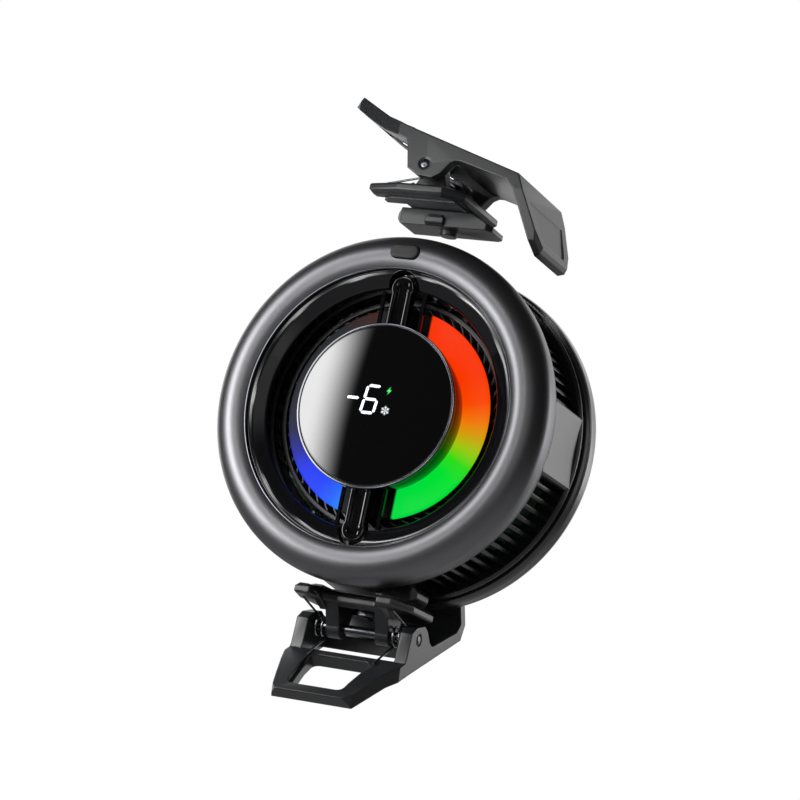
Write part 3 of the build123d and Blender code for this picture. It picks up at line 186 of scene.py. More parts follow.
def smooth(mesh, sharp):
    """Smooth shading, with edges sharp where they turn by more than an angle in degrees."""
    mesh.shade_smooth()
    mesh.set_sharp_from_angle(angle=math.radians(sharp))


def piece(name, points, faces, body, material, slot, replaced=(), sharp=32):
    """A dressed object that rides on its body and stands for the named nodes."""
    made = new_object(name, points, faces)
    mend(made.data)
    smooth(made.data, sharp)
    made.data.materials.append(material)
    if body:
        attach(made, body)
    if replaced:
        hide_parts(*replaced)
    return made


def shade(code):
    """An sRGB hex colour as linear red, green, blue and full alpha."""
    srgb = np.array([int(code[i:i + 2], 16) for i in (1, 3, 5)]) / 255
    linear = np.where(srgb <= 0.04045, srgb / 12.92, ((srgb + 0.055) / 1.055) ** 2.4)
    return (*linear.tolist(), 1.0)


def surface_of(material):
    """The shader that a material starts with."""
    return material.node_tree.nodes["Principled BSDF"]


def finish_named(name, colour, roughness, metallic=0.0, **sockets):
    """A material with its even values on the shader's own sockets. Underscores stand
    for the spaces in the names of sockets."""
    made = bpy.data.materials.new(name)
    made.use_nodes = True
    surface = surface_of(made)
    surface.inputs["Base Color"].default_value = shade(colour)
    surface.inputs["Roughness"].default_value = roughness
    surface.inputs["Metallic"].default_value = metallic
    for socket, value in sockets.items():
        surface.inputs[socket.replace("_", " ")].default_value = value
    return made


def join(owner, value, socket):
    """Links a socket, or a node's first output, to an input, or sets the input to a value."""
    if isinstance(value, bpy.types.Node):
        value = value.outputs[0]
    if isinstance(value, bpy.types.NodeSocket):
        owner.node_tree.links.new(value, socket)
    else:
        socket.default_value = value


def add(owner, kind, settings=None, **inputs):
    """Adds a node with its settings and inputs to a material, a world or a lamp. An
    input goes by its name, with underscores for spaces, or by its number, i0 or i1."""
    node = owner.node_tree.nodes.new(kind)
    for key, value in (settings or {}).items():
        setattr(node, key, value)
    for key, value in inputs.items():
        numbered = key[0] == "i" and key[1:].isdigit()
        join(owner, value, node.inputs[int(key[1:]) if numbered else key.replace("_", " ")])
    return node


def grain(material, size, depth, low, high, detail=3.0, stretch=(1, 1, 1), edge=0.0):
    """A noise of a given size that lifts the surface by a depth, both in millimetres,
    and spreads its roughness between two limits. Edges catch the light as if rounded
    by a radius in millimetres."""
    where = add(material, "ShaderNodeTexCoord").outputs["Object"]
    mapped = add(material, "ShaderNodeMapping", Vector=where, Scale=stretch)
    noise = add(material, "ShaderNodeTexNoise", Vector=mapped, Scale=1 / (size * MM), Detail=detail)
    bump = add(material, "ShaderNodeBump", Height=noise.outputs["Fac"], Distance=depth * MM, Strength=1.0)
    if edge:
        rounded = add(material, "ShaderNodeBevel", {"samples": 8}, Radius=edge * MM)
        join(material, rounded, bump.inputs["Normal"])
    ranged = add(material, "ShaderNodeMapRange", Value=noise.outputs["Fac"], To_Min=low, To_Max=high)
    join(material, bump, surface_of(material).inputs["Normal"])
    join(material, ranged, surface_of(material).inputs["Roughness"])


# Gunmetal lacquer is a satin coat over metal flake: soft broad reflections on a
# darker body. The flake, really 0.03 mm, is drawn at 0.5 mm so that it shows.
gunmetal = finish_named(
    "gunmetal_lacquer", "#6c6c6f", 0.39, 0.95, Coat_Weight=0.1, Coat_Roughness=0.25, Coat_IOR=1.5
)
grain(gunmetal, 0.5, 0.0012, 0.37, 0.41)


def tube_depth(radius):
    """Depth of the tube's front at a radius, on a circle round the tube's centre."""
    return tube_centre[1] - np.sqrt(tube**2 - (radius - tube_centre[0]) ** 2)


def pill_reach(way, size, gap=0.0):
    """Distance from a slot's centre to its edge along unit directions: to the level
    sides where the ray meets them, and to the circle of a round end beyond."""
    end = size[1] / 2 + gap
    level = size[0] / 2 + gap - end
    across, up = np.abs(way[..., 0]), np.abs(way[..., 1])
    to_side = end / np.maximum(up, 1e-9)
    to_end = level * across + np.sqrt(np.maximum(end**2 - (level * up) ** 2, 0))
    return np.where(across * to_side <= level, to_side, to_end)


def ring_profile():
    """The tube's front as an arc from the trim line to the widest point, its back
    tapered to a rolled lip, then the hollow inside and the skirt behind the trim."""
    phi = np.radians(np.linspace(-40, 90, tube_steps + 1))
    front = np.column_stack([tube_centre[0] + tube * np.sin(phi), tube_centre[1] - tube * np.cos(phi)])
    taper = [[ring_outer - 0.04, 5.0], [ring_outer - 0.22, 6.6], [ring_outer - 0.6, 8.1]]
    lip = soften([taper[-1], [33.92, ring_back - 0.02], [lip_inner, ring_back]], 0.12, 3, False)
    inside = [[lip_wall, 5.5], [lip_wall, tube_centre[1]]]
    hollow = arc(tube_centre, tube - tube_wall, 0, -116, 12)[1:]
    skirt_wall = ring_inner + tube_wall
    skirt = [[skirt_wall, 1.6], [skirt_wall, ring_back], [ring_inner, ring_back]]
    return np.vstack([front, taper, lip, inside, hollow, skirt])


def front_ring_mesh():
    """The profile carried round the axis. At the top a few cells are left out, rings
    of points close in from the gap's edge to the slot's, and a wall behind a small
    round goes down into the slot."""
    profile = ring_profile()
    rows = len(profile)
    points, faces = turned(profile, ring_steps)
    near_slot = np.flatnonzero(np.abs(profile[:tube_steps + 1, 0] - button_centre) < slot_patch)
    low_row, high_row = near_slot[0], near_slot[-1]
    top = ring_steps // 4
    left, right = top - slot_patch_columns, top + slot_patch_columns
    keep = np.ones((ring_steps, rows), bool)
    keep[left:right, low_row:high_row] = False
    faces = faces.reshape(ring_steps, rows, 4)[keep]
    across, up = np.arange(left, right), np.arange(low_row, high_row)
    edge_columns = [across, np.full(len(up), right), across[::-1] + 1, np.full(len(up), left)]
    edge_rows = [np.full(len(across), low_row), up, np.full(len(across), high_row), up[::-1] + 1]
    gap_edge = np.concatenate(edge_columns) * rows + np.concatenate(edge_rows)
    centre = np.array([0, button_centre])
    way = points[gap_edge][:, [0, 2]] / MM - centre
    distance = np.linalg.norm(way, axis=1)
    way /= distance[:, None]
    slot_edge = pill_reach(way, button_size, button_slot_gap)
    share = 1 - (1 - np.linspace(0, 1, slot_patch_rings + 1)[1:, None]) ** 1.4
    flat = centre + way * (distance + (slot_edge - distance) * share)[..., None]
    depth = tube_depth(np.linalg.norm(flat, axis=-1))
    wall_inset = np.array([0.03, 0.05, 0.05])[:, None, None]
    wall_drop = np.array([0.03, 0.12, 1.6])[:, None]
    flat = np.concatenate([flat, flat[-1:] - way * wall_inset])
    depth = np.concatenate([depth, depth[-1:] + wall_drop])
    patch = in_frame(spread(flat[..., 0], depth, flat[..., 1]))
    index = np.vstack([gap_edge, len(points) + np.arange(len(patch)).reshape(-1, len(gap_edge))])
    after = np.roll(index, -1, 1)
    patch_faces = np.stack([index[:-1], after[:-1], after[1:], index[1:]], -1).reshape(-1, 4)
    return np.vstack([points, patch]), np.vstack([faces, patch_faces])


piece("ring_shell", *front_ring_mesh(), "root", gunmetal, "gunmetal_gloss", ["front_ring"], sharp=40)

# Power button. A pill-shaped key moulded in black ABS, held behind the slot by two
# ears; a small sprung switch on its own board sits behind it.
button_front, button_back = key_low[1], key_high[1]
button_steps = 96
ear_half = key_high[0]
ear_front = 1.35

# Eroded ABS comes out of a mould with a matte skin: dull and black, no clear
# reflections.
key_plastic = finish_named("eroded_abs", "#19191b", 0.6, IOR=1.46)
grain(key_plastic, 0.12, 0.006, 0.55, 0.70)


def joined(*parts):
    """Several point and face lists as one."""
    points, faces, count = [], [], 0
    for part_points, part_faces in parts:
        points.append(np.asarray(part_points, float).reshape(-1, 3))
        faces += [np.asarray(face) + count for face in part_faces]
        count += len(points[-1])
    return np.vstack(points), faces


def box_part(low, high):
    """Corners and faces of a plain block, used where only its edge can be seen."""
    corner = np.array([[x, y, z] for x in (0, 1) for y in (0, 1) for z in (0, 1)])
    points = np.asarray(low) + corner * (np.asarray(high) - np.asarray(low))
    faces = [[0, 1, 3, 2], [4, 6, 7, 5], [0, 4, 5, 1], [2, 3, 7, 6], [0, 2, 6, 4], [1, 5, 7, 3]]
    return in_frame(points), faces


def button_mesh():
    """The slot's outline stacked from the back to the front, drawn in by an inset
    that grows towards the front as a round does, and closed by a cap at each end."""
    angle = np.linspace(0, 2 * np.pi, button_steps, endpoint=False)
    way = np.column_stack([np.cos(angle), np.sin(angle)])
    inset = np.array([0, 0, 0, 0.04, 0.12, 0.24, 0.40, 0.9])
    behind_front = np.array([0.42, 0.24, 0.12, 0.05, 0.01, 0])
    depth = np.concatenate([[button_back, 0], button_front + behind_front])
    flat = way * (pill_reach(way, button_size) - inset[:, None])[..., None]
    points = spread(flat[..., 0], depth[:, None], flat[..., 1] + button_centre)
    faces = grid_faces(len(inset), button_steps, False, True).tolist()
    first_front = (len(inset) - 1) * button_steps
    caps = [list(range(button_steps)), list(range(first_front, first_front + button_steps))]
    ears = box_part((-ear_half, ear_front, button_centre - 1), (ear_half, button_back, button_centre + 1))
    return joined((in_frame(points), faces + caps), ears)


piece("button_key", *button_mesh(), "button", key_plastic, "button_black", ["power_button"])

# Trim line. A thin brass hoop plated in dark chrome, pressed between the front ring
# and the black bezel, so that one bright line parts the two.
trim_inner = 27.75
trim_front, trim_back = span("trim_ring")[1:]

# Dark chrome is a smoky mirror: sharp reflections, darker than what they show.
dark_chrome = finish_named("dark_chrome", "#4c4d51", 0.16, 1.0)
grain(dark_chrome, 0.8, 0.001, 0.12, 0.22)


def hoop_profile(inner, outer, front, back, rounding, steps=3):
    """A rectangle between two radii and two depths with its corners rounded."""
    return soften([[inner, front], [outer, front], [outer, back], [inner, back]], rounding, steps)


trim_profile = hoop_profile(trim_inner, ring_inner, trim_front, trim_back, 0.1)
piece("trim_hoop", *turned(trim_profile, 360), "root", dark_chrome, "bright_trim", ["trim_ring"])

# Bezel. A cone moulded in gloss black ABS, from the trim line down to the air
# opening, with a round-ended recess for each arm of the display and the wall of
# the duct behind.
opening = 24.2
recess_radius = 3.3
recess_place = 24.3
recess_floor = 3.8
cone_start = 27.72
cone_front, bezel_back = span("bezel")[1:]
cone_slope = 0.58
cone_back = 5.0
cone_roll = 1.5
duct_back = bezel_back + 0.5  # deeper than packed, so that no light shows past the wheel
duct_wall = 1.2

# Piano black is ABS from a polished mould: a deep black with clear reflections.
piano = finish_named("piano_black_abs", "#08080a", 0.06, IOR=1.5)
grain(piano, 3.0, 0.002, 0.04, 0.09, 2.0)


def cone_depth(radius):
    """Level at the trim line, then ever steeper over the roll, then straight."""
    way = cone_start - radius
    rolled = np.clip(way, 0, cone_roll)
    return cone_front + cone_slope * (rolled**2 / (2 * cone_roll) + np.maximum(way - cone_roll, 0))


def bezel_mesh():
    """A profile carried round the axis whose inner end follows the recess: at each
    angle the cone stops where the ray enters the recess and drops to its floor."""
    recess_edge = math.acos(recess_radius / opening)
    beside = np.linspace(0, recess_edge - 0.02, 80)
    quarter = np.concatenate([beside, np.linspace(recess_edge - 0.018, np.pi / 2, 56)])
    half = np.concatenate([quarter, np.pi - quarter[-2::-1]])
    angle = np.concatenate([half, half[1:-1] + np.pi])
    across, up = np.abs(np.cos(angle)), np.abs(np.sin(angle))
    straight_side = recess_radius / np.maximum(across, 1e-9)
    under_round = np.maximum(recess_radius**2 - (recess_place * across) ** 2, 0)
    round_end = recess_place * up + np.sqrt(under_round)
    reach = np.where(straight_side * up > recess_place, round_end, straight_side)
    reach = np.clip(reach, opening, recess_place + recess_radius)
    in_recess = reach > opening + 1e-6
    lip = np.where(in_recess, reach + 0.12, opening + 0.42)
    wall_end = np.where(in_recess, recess_floor, cone_depth(lip) + 0.9)
    columns = [(cone_start, cone_back), (cone_start, cone_front + 0.06)]
    for share in np.linspace(0.02, 1, 14):
        radius = cone_start + (np.minimum(lip, cone_start - 0.05) - cone_start) * share
        columns.append((radius, cone_depth(radius)))
    for turn in np.radians(np.linspace(15, 90, 6)):
        radius = reach + (lip - reach) * (1 - math.sin(turn))
        columns.append((radius, cone_depth(radius) + (lip - reach) * (1 - math.cos(turn))))
    columns += [
        (reach, wall_end - 0.05),
        (reach - np.where(in_recess, 0.06, 0), wall_end),
        (opening, wall_end + 0.02),
        (opening, duct_back),
        (opening + duct_wall, duct_back),
        (opening + duct_wall, cone_back),
    ]
    radius = np.stack([np.broadcast_to(column[0], angle.shape) for column in columns], 1)
    depth = np.stack([np.broadcast_to(column[1], angle.shape) for column in columns], 1)
    points = spread(radius * np.cos(angle)[:, None], depth, radius * np.sin(angle)[:, None])
    return in_frame(points), grid_faces(len(angle), len(columns), True, True)


piece("bezel_cone", *bezel_mesh(), "root", piano, "piano_black", ["bezel"], sharp=50)

# Display bridge. The cup behind the glass, moulded in the bezel's gloss black with
# an arm up and an arm down that rest in the recesses, and a thin rail on both
# sides of each arm.
pole = 0.01  # a profile stops this short of the axis, and merging its points closes it
cup_radius, cup_front, cup_back = span("display_bridge")
cup_corners = [
    [cup_radius, cup_front], [15.6, cup_back], [14.3, cup_back], [14.3, 5.4], [pole, 5.4],
    [pole, 4.4], [13.8, 4.4], [15.3, 3.0], [15.3, cup_front],
]
cup_rounds = [0.1, 0.1, 0.1, 0.1, 0, 0, 0.1, 0.1, 0.1]
arm_start = 15.2
arm_half = 2.1
arm_end = 2.4
arm_front = 1.6
arm_round = 0.3
groove_half = 1.2
groove_depth = 0.7
rail_start = 15.0
rail_place = 4.4
rail_half = 0.35
rail_front = 3.2


def smooth_step(value):
    """Three times the square less twice the cube, held at 0 below 0 and at 1 above 1."""
    value = np.clip(value, 0, 1)
    return value * value * (3 - 2 * value)


def arm_mesh(side):
    """A grid across and along the arm; its depth dips into the groove and rounds
    over at the outline. The round end narrows the grid to a half circle."""
    across = np.sin(np.linspace(-np.pi / 2, np.pi / 2, 49))
    neck_start = recess_place - arm_end * 0.8
    end_angle = np.linspace(-0.9, np.pi / 2, 25)[1:]
    z = np.concatenate([np.linspace(arm_start, neck_start, 20), recess_place + arm_end * np.sin(end_angle)])
    circle = np.sqrt(np.maximum(arm_end**2 - (z - recess_place) ** 2, 1e-6))
    neck = arm_half + (circle - arm_half) * smooth_step((z - neck_start) / 1.2)
    width = np.where(z > recess_place, circle, np.maximum(neck, arm_half))[:, None]
    x = across * width
    along = np.broadcast_to(z[:, None], x.shape)
    to_tip = recess_place + np.sqrt(np.maximum(arm_end**2 - x**2, 0)) - along
    to_edge = np.minimum(width - np.abs(x), np.maximum(to_tip, 0))
    rounding = arm_round * (1 - np.sqrt(1 - (1 - np.clip(to_edge / arm_round, 0, 1)) ** 2))
    in_groove = smooth_step((groove_half - np.abs(x)) / 0.25)
    in_groove = in_groove * smooth_step((recess_place + 1.0 - along) / 0.5)
    front = spread(x, arm_front + rounding + groove_depth * in_groove, side * along)
    back = spread(x, recess_floor, side * along)
    rows, columns = x.shape
    count = rows * columns
    top = grid_faces(rows, columns)
    rim = np.concatenate([
        np.arange(columns), np.arange(1, rows) * columns + columns - 1,
        (rows - 1) * columns + np.arange(columns - 2, -1, -1), np.arange(rows - 2, 0, -1) * columns,
    ])
    after = np.roll(rim, -1)
    wall = np.stack([rim, after, after + count, rim + count], -1)
    points = in_frame(np.vstack([front.reshape(-1, 3), back.reshape(-1, 3)]))
    return points, np.vstack([top, top[:, ::-1] + count, wall])


def rail_part(side, x):
    """A thin block beside an arm, from the cup out to the wall of the air opening."""
    end = math.sqrt((opening - 0.1) ** 2 - (rail_place + rail_half) ** 2)
    low, high = sorted((side * rail_start, side * end))
    return box_part((x - rail_half, rail_front, low), (x + rail_half, recess_floor, high))


bridge = joined(
    turned(soften(cup_corners, cup_rounds, 2), 192),
    *[arm_mesh(side) for side in (1, -1)],
    *[rail_part(side, x) for side in (1, -1) for x in (rail_place, -rail_place)],
)
piece("bridge_shell", *bridge, "root", piano, "piano_black", ["display_bridge"])

# Display. A domed cover glass printed black from behind, glued into the cup, with a
# thin chromed rim round it.
glass_radius, glass_front, glass_seat = span("display_glass")
glass_crown = -glass_front
glass_back = glass_seat - 0.05
glass_edge = 0.12
rim_inner = 16.0
dome_radius = (glass_radius**2 + glass_crown**2) / (2 * glass_crown)

# Glass over black print is a dark mirror, with a faint smear of touch on it.
cover_glass = finish_named("cover_glass", "#050506", 0.03, IOR=1.52, Coat_Weight=1.0, Coat_Roughness=0.0)
grain(cover_glass, 6.0, 0.001, 0.02, 0.05, 2.0)


def dome_depth(radius):
    """Depth of the glass dome's front at a radius, on a sphere that meets the edge."""
    return dome_radius - glass_crown - np.sqrt(dome_radius**2 - np.asarray(radius) ** 2)


dome_steps = np.sqrt(np.linspace(0.000001, 1, 40)) * (glass_radius - glass_edge)
glass_profile = np.vstack([
    np.column_stack([dome_steps, dome_depth(dome_steps)]),
    arc((glass_radius - glass_edge, 0.1), glass_edge, -90, 0, 4)[1:],
    [[glass_radius, glass_back], [0.001, glass_back]],
])
glass = turned(glass_profile)
piece("glass_cover", *glass, "root", cover_glass, "display_glass", ["display_glass"], sharp=50)
rim_corners = [[rim_inner, 0.0], [cup_radius, 0.05], [cup_radius, cup_front], [rim_inner, cup_front]]
rim = turned(soften(rim_corners, 0.14))
piece("glass_rim", *rim, "root", dark_chrome, "bright_trim", ["display_rim"])

# Digits and signs. Clear windows in the black print, lit from the board behind: a
# minus, a six made of slanted bars, a bolt and a small flake, all generic signs.
digit_height = 5.4
digit_width = 2.75
digit_centre = np.array([-0.85, 0.95])
bar_width = 0.56
slant = 0.12
minus_place = -3.85
minus_length = 2.6
sign_column = 2.75
bolt_level = 3.0
flake_level = -0.95
flake_half = 0.045
lit_height = 0.012  # the signs stand proud of the glass, which would hide them
lit_sink = 0.05

# Lit print gives an even white and a clear green that nothing shades.
digit_white = finish_named(
    "lit_white_print", "#e9eef4", 0.5, Emission_Color=shade("#eef3ff"), Emission_Strength=0.9
)
bolt_green = finish_named(
    "lit_green_print", "#27d75a", 0.5, Emission_Color=shade("#2fe060"), Emission_Strength=0.8
)


def lit_shape(name, outlines, material):
    """Flat outlines of width and height laid on the dome, a hair above it, each
    closed by a front, a back and a wall."""
    parts = []
    for outline in outlines:
        x, z = np.asarray(outline, float).T
        points = spread(x, dome_depth(np.hypot(x, z)) + np.array([[-lit_height], [lit_sink]]), z)
        corners = np.arange(len(x))
        caps = [corners.tolist(), (corners[::-1] + len(x)).tolist()]
        parts.append((in_frame(points), caps + grid_faces(2, len(x), False, True).tolist()))
    return piece(name, *joined(*parts), "root", material, "display_glass")


def bar(centre, length, upright=False):
    """A six-sided bar of a digit, lying or standing, leaned with the digit."""
    half, thick = length / 2, bar_width / 2
    shape = np.array([
        [-half, 0], [-half + thick, thick], [half - thick, thick],
        [half, 0], [half - thick, -thick], [-half + thick, -thick],
    ])
    if upright:
        shape = shape[:, ::-1]
    shape = shape + centre
    shape[:, 0] += slant * shape[:, 1]
    return shape


def rotated(points, angle):
    """Points turned about the origin by an angle in radians."""
    c, s = math.cos(angle), math.sin(angle)
    return points @ np.array([[c, s], [-s, c]])


half_h, half_w = digit_height / 2, digit_width / 2
stems = [(-half_w, half_h / 2), (-half_w, -half_h / 2), (half_w, -half_h / 2)]
six = [bar(digit_centre + (0, level), digit_width - 0.28) for level in (half_h, 0, -half_h)]
six += [bar(digit_centre + stem, half_h - 0.2, True) for stem in stems]
lit_shape("digit_six", six + [bar(digit_centre + (minus_place, 0), minus_length)], digit_white)
bolt = np.array([[0.25, 0.9], [-0.55, -0.15], [-0.05, -0.15], [-0.3, -0.95], [0.55, 0.2], [0.05, 0.2]])
lit_shape("bolt_sign", [bolt * 0.9 + (sign_column, bolt_level)], bolt_green)
flake_strips = []
for turn in np.radians(np.arange(0, 360, 60) + 30):
    for start, length, lean in ((0.1, 0.84, 0), (0.5, 0.3, 0.9), (0.5, 0.3, -0.9)):
        strip = np.array([[0, -flake_half], [length, -flake_half], [length, flake_half], [0, flake_half]])
        leaned = rotated(strip, lean) + (start, 0)
        flake_strips.append(rotated(leaned, turn) + (sign_column, flake_level))
lit_shape("flake_sign", flake_strips, digit_white)

# Glowing ring. A flat hoop of milky polycarbonate behind the display, snapped onto
# its board, whose lamps light it in the colours of the rainbow round the circle.
glow_inner = 15.7
glow_outer = 21.2
glow_front, glow_back = span("light_ring")[1:]
glow_gap = (5.2, 5.6)  # the light fades in beside the arms, between these widths

# Milky polycarbonate blurs its lamps into one another: an even glow with no gloss.
# Each stop is a share of the turn, from the left by way of the bottom, and its colour.
glow = finish_named("milky_polycarbonate", "#060606", 0.45, Specular_IOR_Level=0.08)
glow_colours = [
    (0.000, "#040818"), (0.045, "#060c3c"), (0.080, "#08189a"), (0.115, "#0630f4"), (0.155, "#0840ff"),
    (0.185, "#1064ff"), (0.208, "#1c8eff"), (0.252, "#08d070"), (0.280, "#00e048"), (0.400, "#00e634"),
    (0.430, "#2fe018"), (0.455, "#9ccc10"), (0.480, "#d8a00c"), (0.505, "#f87808"), (0.535, "#ff4a02"),
    (0.580, "#ff3a00"), (0.700, "#ff3600"), (0.748, "#f03008"), (0.765, "#a02008"), (0.800, "#38100a"),
    (0.860, "#0a0a14"), (1.000, "#040818"),
]
glow_where = add(glow, "ShaderNodeTexCoord").outputs["Object"]
glow_turn = add(glow, "ShaderNodeMapping", Vector=glow_where, Rotation=(math.radians(-90), 0, 0))
glow_angle = add(glow, "ShaderNodeTexGradient", {"gradient_type": "RADIAL"}, Vector=glow_turn)
glow_ramp = add(glow, "ShaderNodeValToRGB", Fac=glow_angle.outputs["Fac"])
stops = glow_ramp.color_ramp.elements
while len(stops) < len(glow_colours):
    stops.new(0.5)
for stop, (position, code) in zip(stops, glow_colours):
    stop.position = position
    stop.color = shade(code)
join(glow, glow_ramp, surface_of(glow).inputs["Emission Color"])
glow_across = add(glow, "ShaderNodeSeparateXYZ", Vector=glow_where)
glow_side = add(glow, "ShaderNodeMath", {"operation": "ABSOLUTE"}, i0=glow_across.outputs["X"])
glow_mask = add(
    glow, "ShaderNodeMapRange", Value=glow_side,
    From_Min=glow_gap[0] * MM, From_Max=glow_gap[1] * MM, To_Max=0.95,
)
join(glow, glow_mask, surface_of(glow).inputs["Emission Strength"])
glow_profile = hoop_profile(glow_inner, glow_outer, glow_front, glow_back, 0.25, 4)
piece("glow_hoop", *turned(glow_profile), "root", glow, "light_diffuser", ["light_ring"])

# Impeller. A wheel moulded in black PBT, with curved blades between a back disc and
# a front rim; it turns on its shaft, with the magnet ring pressed into its hub.
wheel_radius, hub_front, wheel_back = span("impeller")
wheel_front = 8.0
eye_back = 8.8
disc_front = 13.2
disc_inner = 8.6
eye_radius = 22.4
hub_radius = 9.0
hub_corners = [
    [1.0, hub_front], [hub_radius, hub_front], [hub_radius, wheel_back],
    [8.2, wheel_back], [8.2, 7.8], [1.0, 7.8],
]
blade_count = 53
blade_inner = 18.0
blade_outer = 22.9
blade_sweep = math.radians(16)
blade_half = 0.26
blade_front = 8.6
blade_back = 13.4

# PBT from a plain mould is a dull black that shows its blades by their edges.
wheel_plastic = finish_named("moulded_pbt", "#0d0d0f", 0.42, IOR=1.5)
grain(wheel_plastic, 0.25, 0.004, 0.36, 0.5)


def drawn(outlines, front, back, caps=()):
    """Outlines across the axis drawn straight from one depth to another. A cap of 0
    closes the front ends and a cap of 1 the back ends."""
    count, corners = outlines.shape[:2]
    x, z = outlines[:, None, :, 0], outlines[:, None, :, 1]
    points = spread(x, np.array([[front], [back]]), z)
    first = np.arange(count) * 2 * corners
    walls = grid_faces(2, corners, False, True) + first[:, None, None]
    ends = [list(range(at + cap * corners, at + (cap + 1) * corners)) for cap in caps for at in first]
    return in_frame(points), walls.reshape(-1, 4).tolist() + ends


def blade_outlines():
    """Strips between two radii that sweep back as the share of the way out to the
    power 1.3, thinner at both ends, one at each step round the axis."""
    share = np.linspace(0, 1, 9)
    radius = blade_inner + (blade_outer - blade_inner) * share
    sweep = blade_sweep * share**1.3
    half = blade_half * np.array([0.5, 1, 1, 1, 1, 1, 1, 0.9, 0.6]) / radius
    radius = np.concatenate([radius, radius[::-1]])
    angle = np.concatenate([sweep + half, (sweep - half)[::-1]])
    angle = np.linspace(0, 2 * np.pi, blade_count, endpoint=False)[:, None] + angle
    return np.stack([radius * np.cos(angle), radius * np.sin(angle)], -1)


wheel = joined(
    turned(hoop_profile(eye_radius, wheel_radius, wheel_front, eye_back, 0.2), 192),
    turned(hoop_profile(disc_inner, wheel_radius, disc_front, wheel_back, 0.2), 192),
    turned(soften(hub_corners, [0.1, 0.5, 0.1, 0.1, 0.3, 0.1], 3), 192),
    drawn(blade_outlines(), blade_front, blade_back, caps=[0]),
)
piece("impeller_wheel", *wheel, "fan", wheel_plastic, "impeller_black", ["impeller"])

# Waist. A ring moulded in black ABS, with upright louvers between two flanges, flat
# blocks left and right that carry the side panels, and three posts inside for the
# fan's screws.
tongue_front, waist_back = span("waist_grille")[1:]
louver_front = 10.3
louver_back = 24.3
louver_count = 13
louver_inner = 29.8
louver_outer = 31.9
louver_half = 0.45
panel_zone = 13.5  # degrees each way that the side blocks leave free of louvers
seat_zone = 19.5  # degrees each way that the seats of the clips leave free
block_outer = 31.85
block_half = corners_of("side_panel_right")[1][2]
block_back = 24.1
inlet_half = 4.7
inlet_back = 20.7
front_flange = [
    [25.7, ring_back], [29.75, ring_back], [29.75, tongue_front], [32.7, tongue_front],
    [32.7, ring_back], [33.6, ring_back], [33.6, 10.5], [25.7, 10.5],
]
rear_flange = [[29.6, 24.0], [33.5, 24.0], [34.0, 24.5], [34.0, waist_back], [29.6, waist_back]]
post_radius = 1.7
post_place = 27.6
post_back = 15.0

# ABS from a smoothed mould is black with a low sheen, which draws each louver as a
# thin grey line.
waist_plastic = finish_named("moulded_abs", "#0c0d0e", 0.27, IOR=1.5)
grain(waist_plastic, 0.2, 0.003, 0.23, 0.32)


def louver_outlines():
    """The rounded cross-section of a louver, turned to each place in a quarter and
    mirrored into the next."""
    half = louver_half
    corners = [[louver_inner, -half], [louver_outer, -half], [louver_outer, half], [louver_inner, half]]
    radial, across = soften(corners, 0.14, 3).T
    pitch = (90 - panel_zone - seat_zone) / louver_count
    step = panel_zone + (np.arange(louver_count) + 0.5) * pitch
    quarters = [quarter * 90 + (90 - step if quarter % 2 else step) for quarter in range(4)]
    angle = np.radians(np.concatenate(quarters))[:, None]
    c, s = np.cos(angle), np.sin(angle)
    return np.stack([radial * c - across * s, radial * s + across * c], -1)


def circles(radius, place, degrees, steps):
    """Circles of one radius whose centres lie on a larger circle round the axis."""
    turn = np.radians(degrees)[:, None]
    angle = np.linspace(0, 2 * np.pi, steps, endpoint=False)
    x = radius * np.cos(angle) + place * np.cos(turn)
    return np.stack([x, radius * np.sin(angle) + place * np.sin(turn)], -1)


waist = joined(
    turned(soften(front_flange, 0.12, 2)),
    turned(soften(rear_flange, [0.1, 0.3, 0.3, 0.05, 0.1], 4)),
    drawn(louver_outlines(), louver_front, louver_back),
    box_part((louver_inner, louver_front, -block_half), (block_outer, block_back, block_half)),
    box_part((-block_outer, louver_front, inlet_half), (-louver_inner, block_back, block_half)),
    box_part((-block_outer, louver_front, -block_half), (-louver_inner, block_back, -inlet_half)),
    box_part((-block_outer, louver_front, -inlet_half), (-louver_inner, inlet_back, inlet_half)),
    drawn(circles(post_radius, post_place, [0, -120, -240], 24), louver_front, post_back, caps=[1]),
)
piece("waist_shell", *waist, "root", waist_plastic, "black_plastic", ["waist_grille"])

# Side panels. Satin grey plates pegged to the blocks of the waist, their edges
# slightly broken; the left one has the hole of the power inlet.
slot_of = {part["node"]: part["material_slot"] for part in frame["record"]["subparts"]}

# Grey lacquer brushed from front to back: a soft sheen drawn out in one direction,
# with a thin light line where an edge is broken.
satin = finish_named("satin_grey_lacquer", "#3e3e40", 0.36, 0.55, Coat_Weight=0.25, Coat_Roughness=0.3)
grain(satin, 0.15, 0.003, 0.32, 0.42, 2.0, (1, 0.12, 1), 0.25)


def broken_edges(name, node, body, material, width, segments=3, angle=28):
    """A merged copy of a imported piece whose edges, where they turn by more than an
    angle in degrees, get a round of a width in millimetres."""
    made = nodes[node].copy()
    made.data = nodes[node].data.copy()
    made.name = made.data.name = name
    bpy.context.collection.objects.link(made)
    made.parent = None
    made.matrix_world = Matrix.Identity(4)
    mend(made.data, packed=True)
    smooth(made.data, angle)
    made.data.materials.clear()
    made.data.materials.append(material)
    edge = made.modifiers.new("edge", "BEVEL")
    edge.width = width * MM
    edge.segments = segments
    edge.limit_method = "ANGLE"
    edge.angle_limit = math.radians(angle)
    edge.harden_normals = True
    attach(made, body)
    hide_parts(node)


broken_edges("panel_right", "side_panel_right", "root", satin, 0.15)
broken_edges("panel_left", "side_panel_left", "root", satin, 0.15)

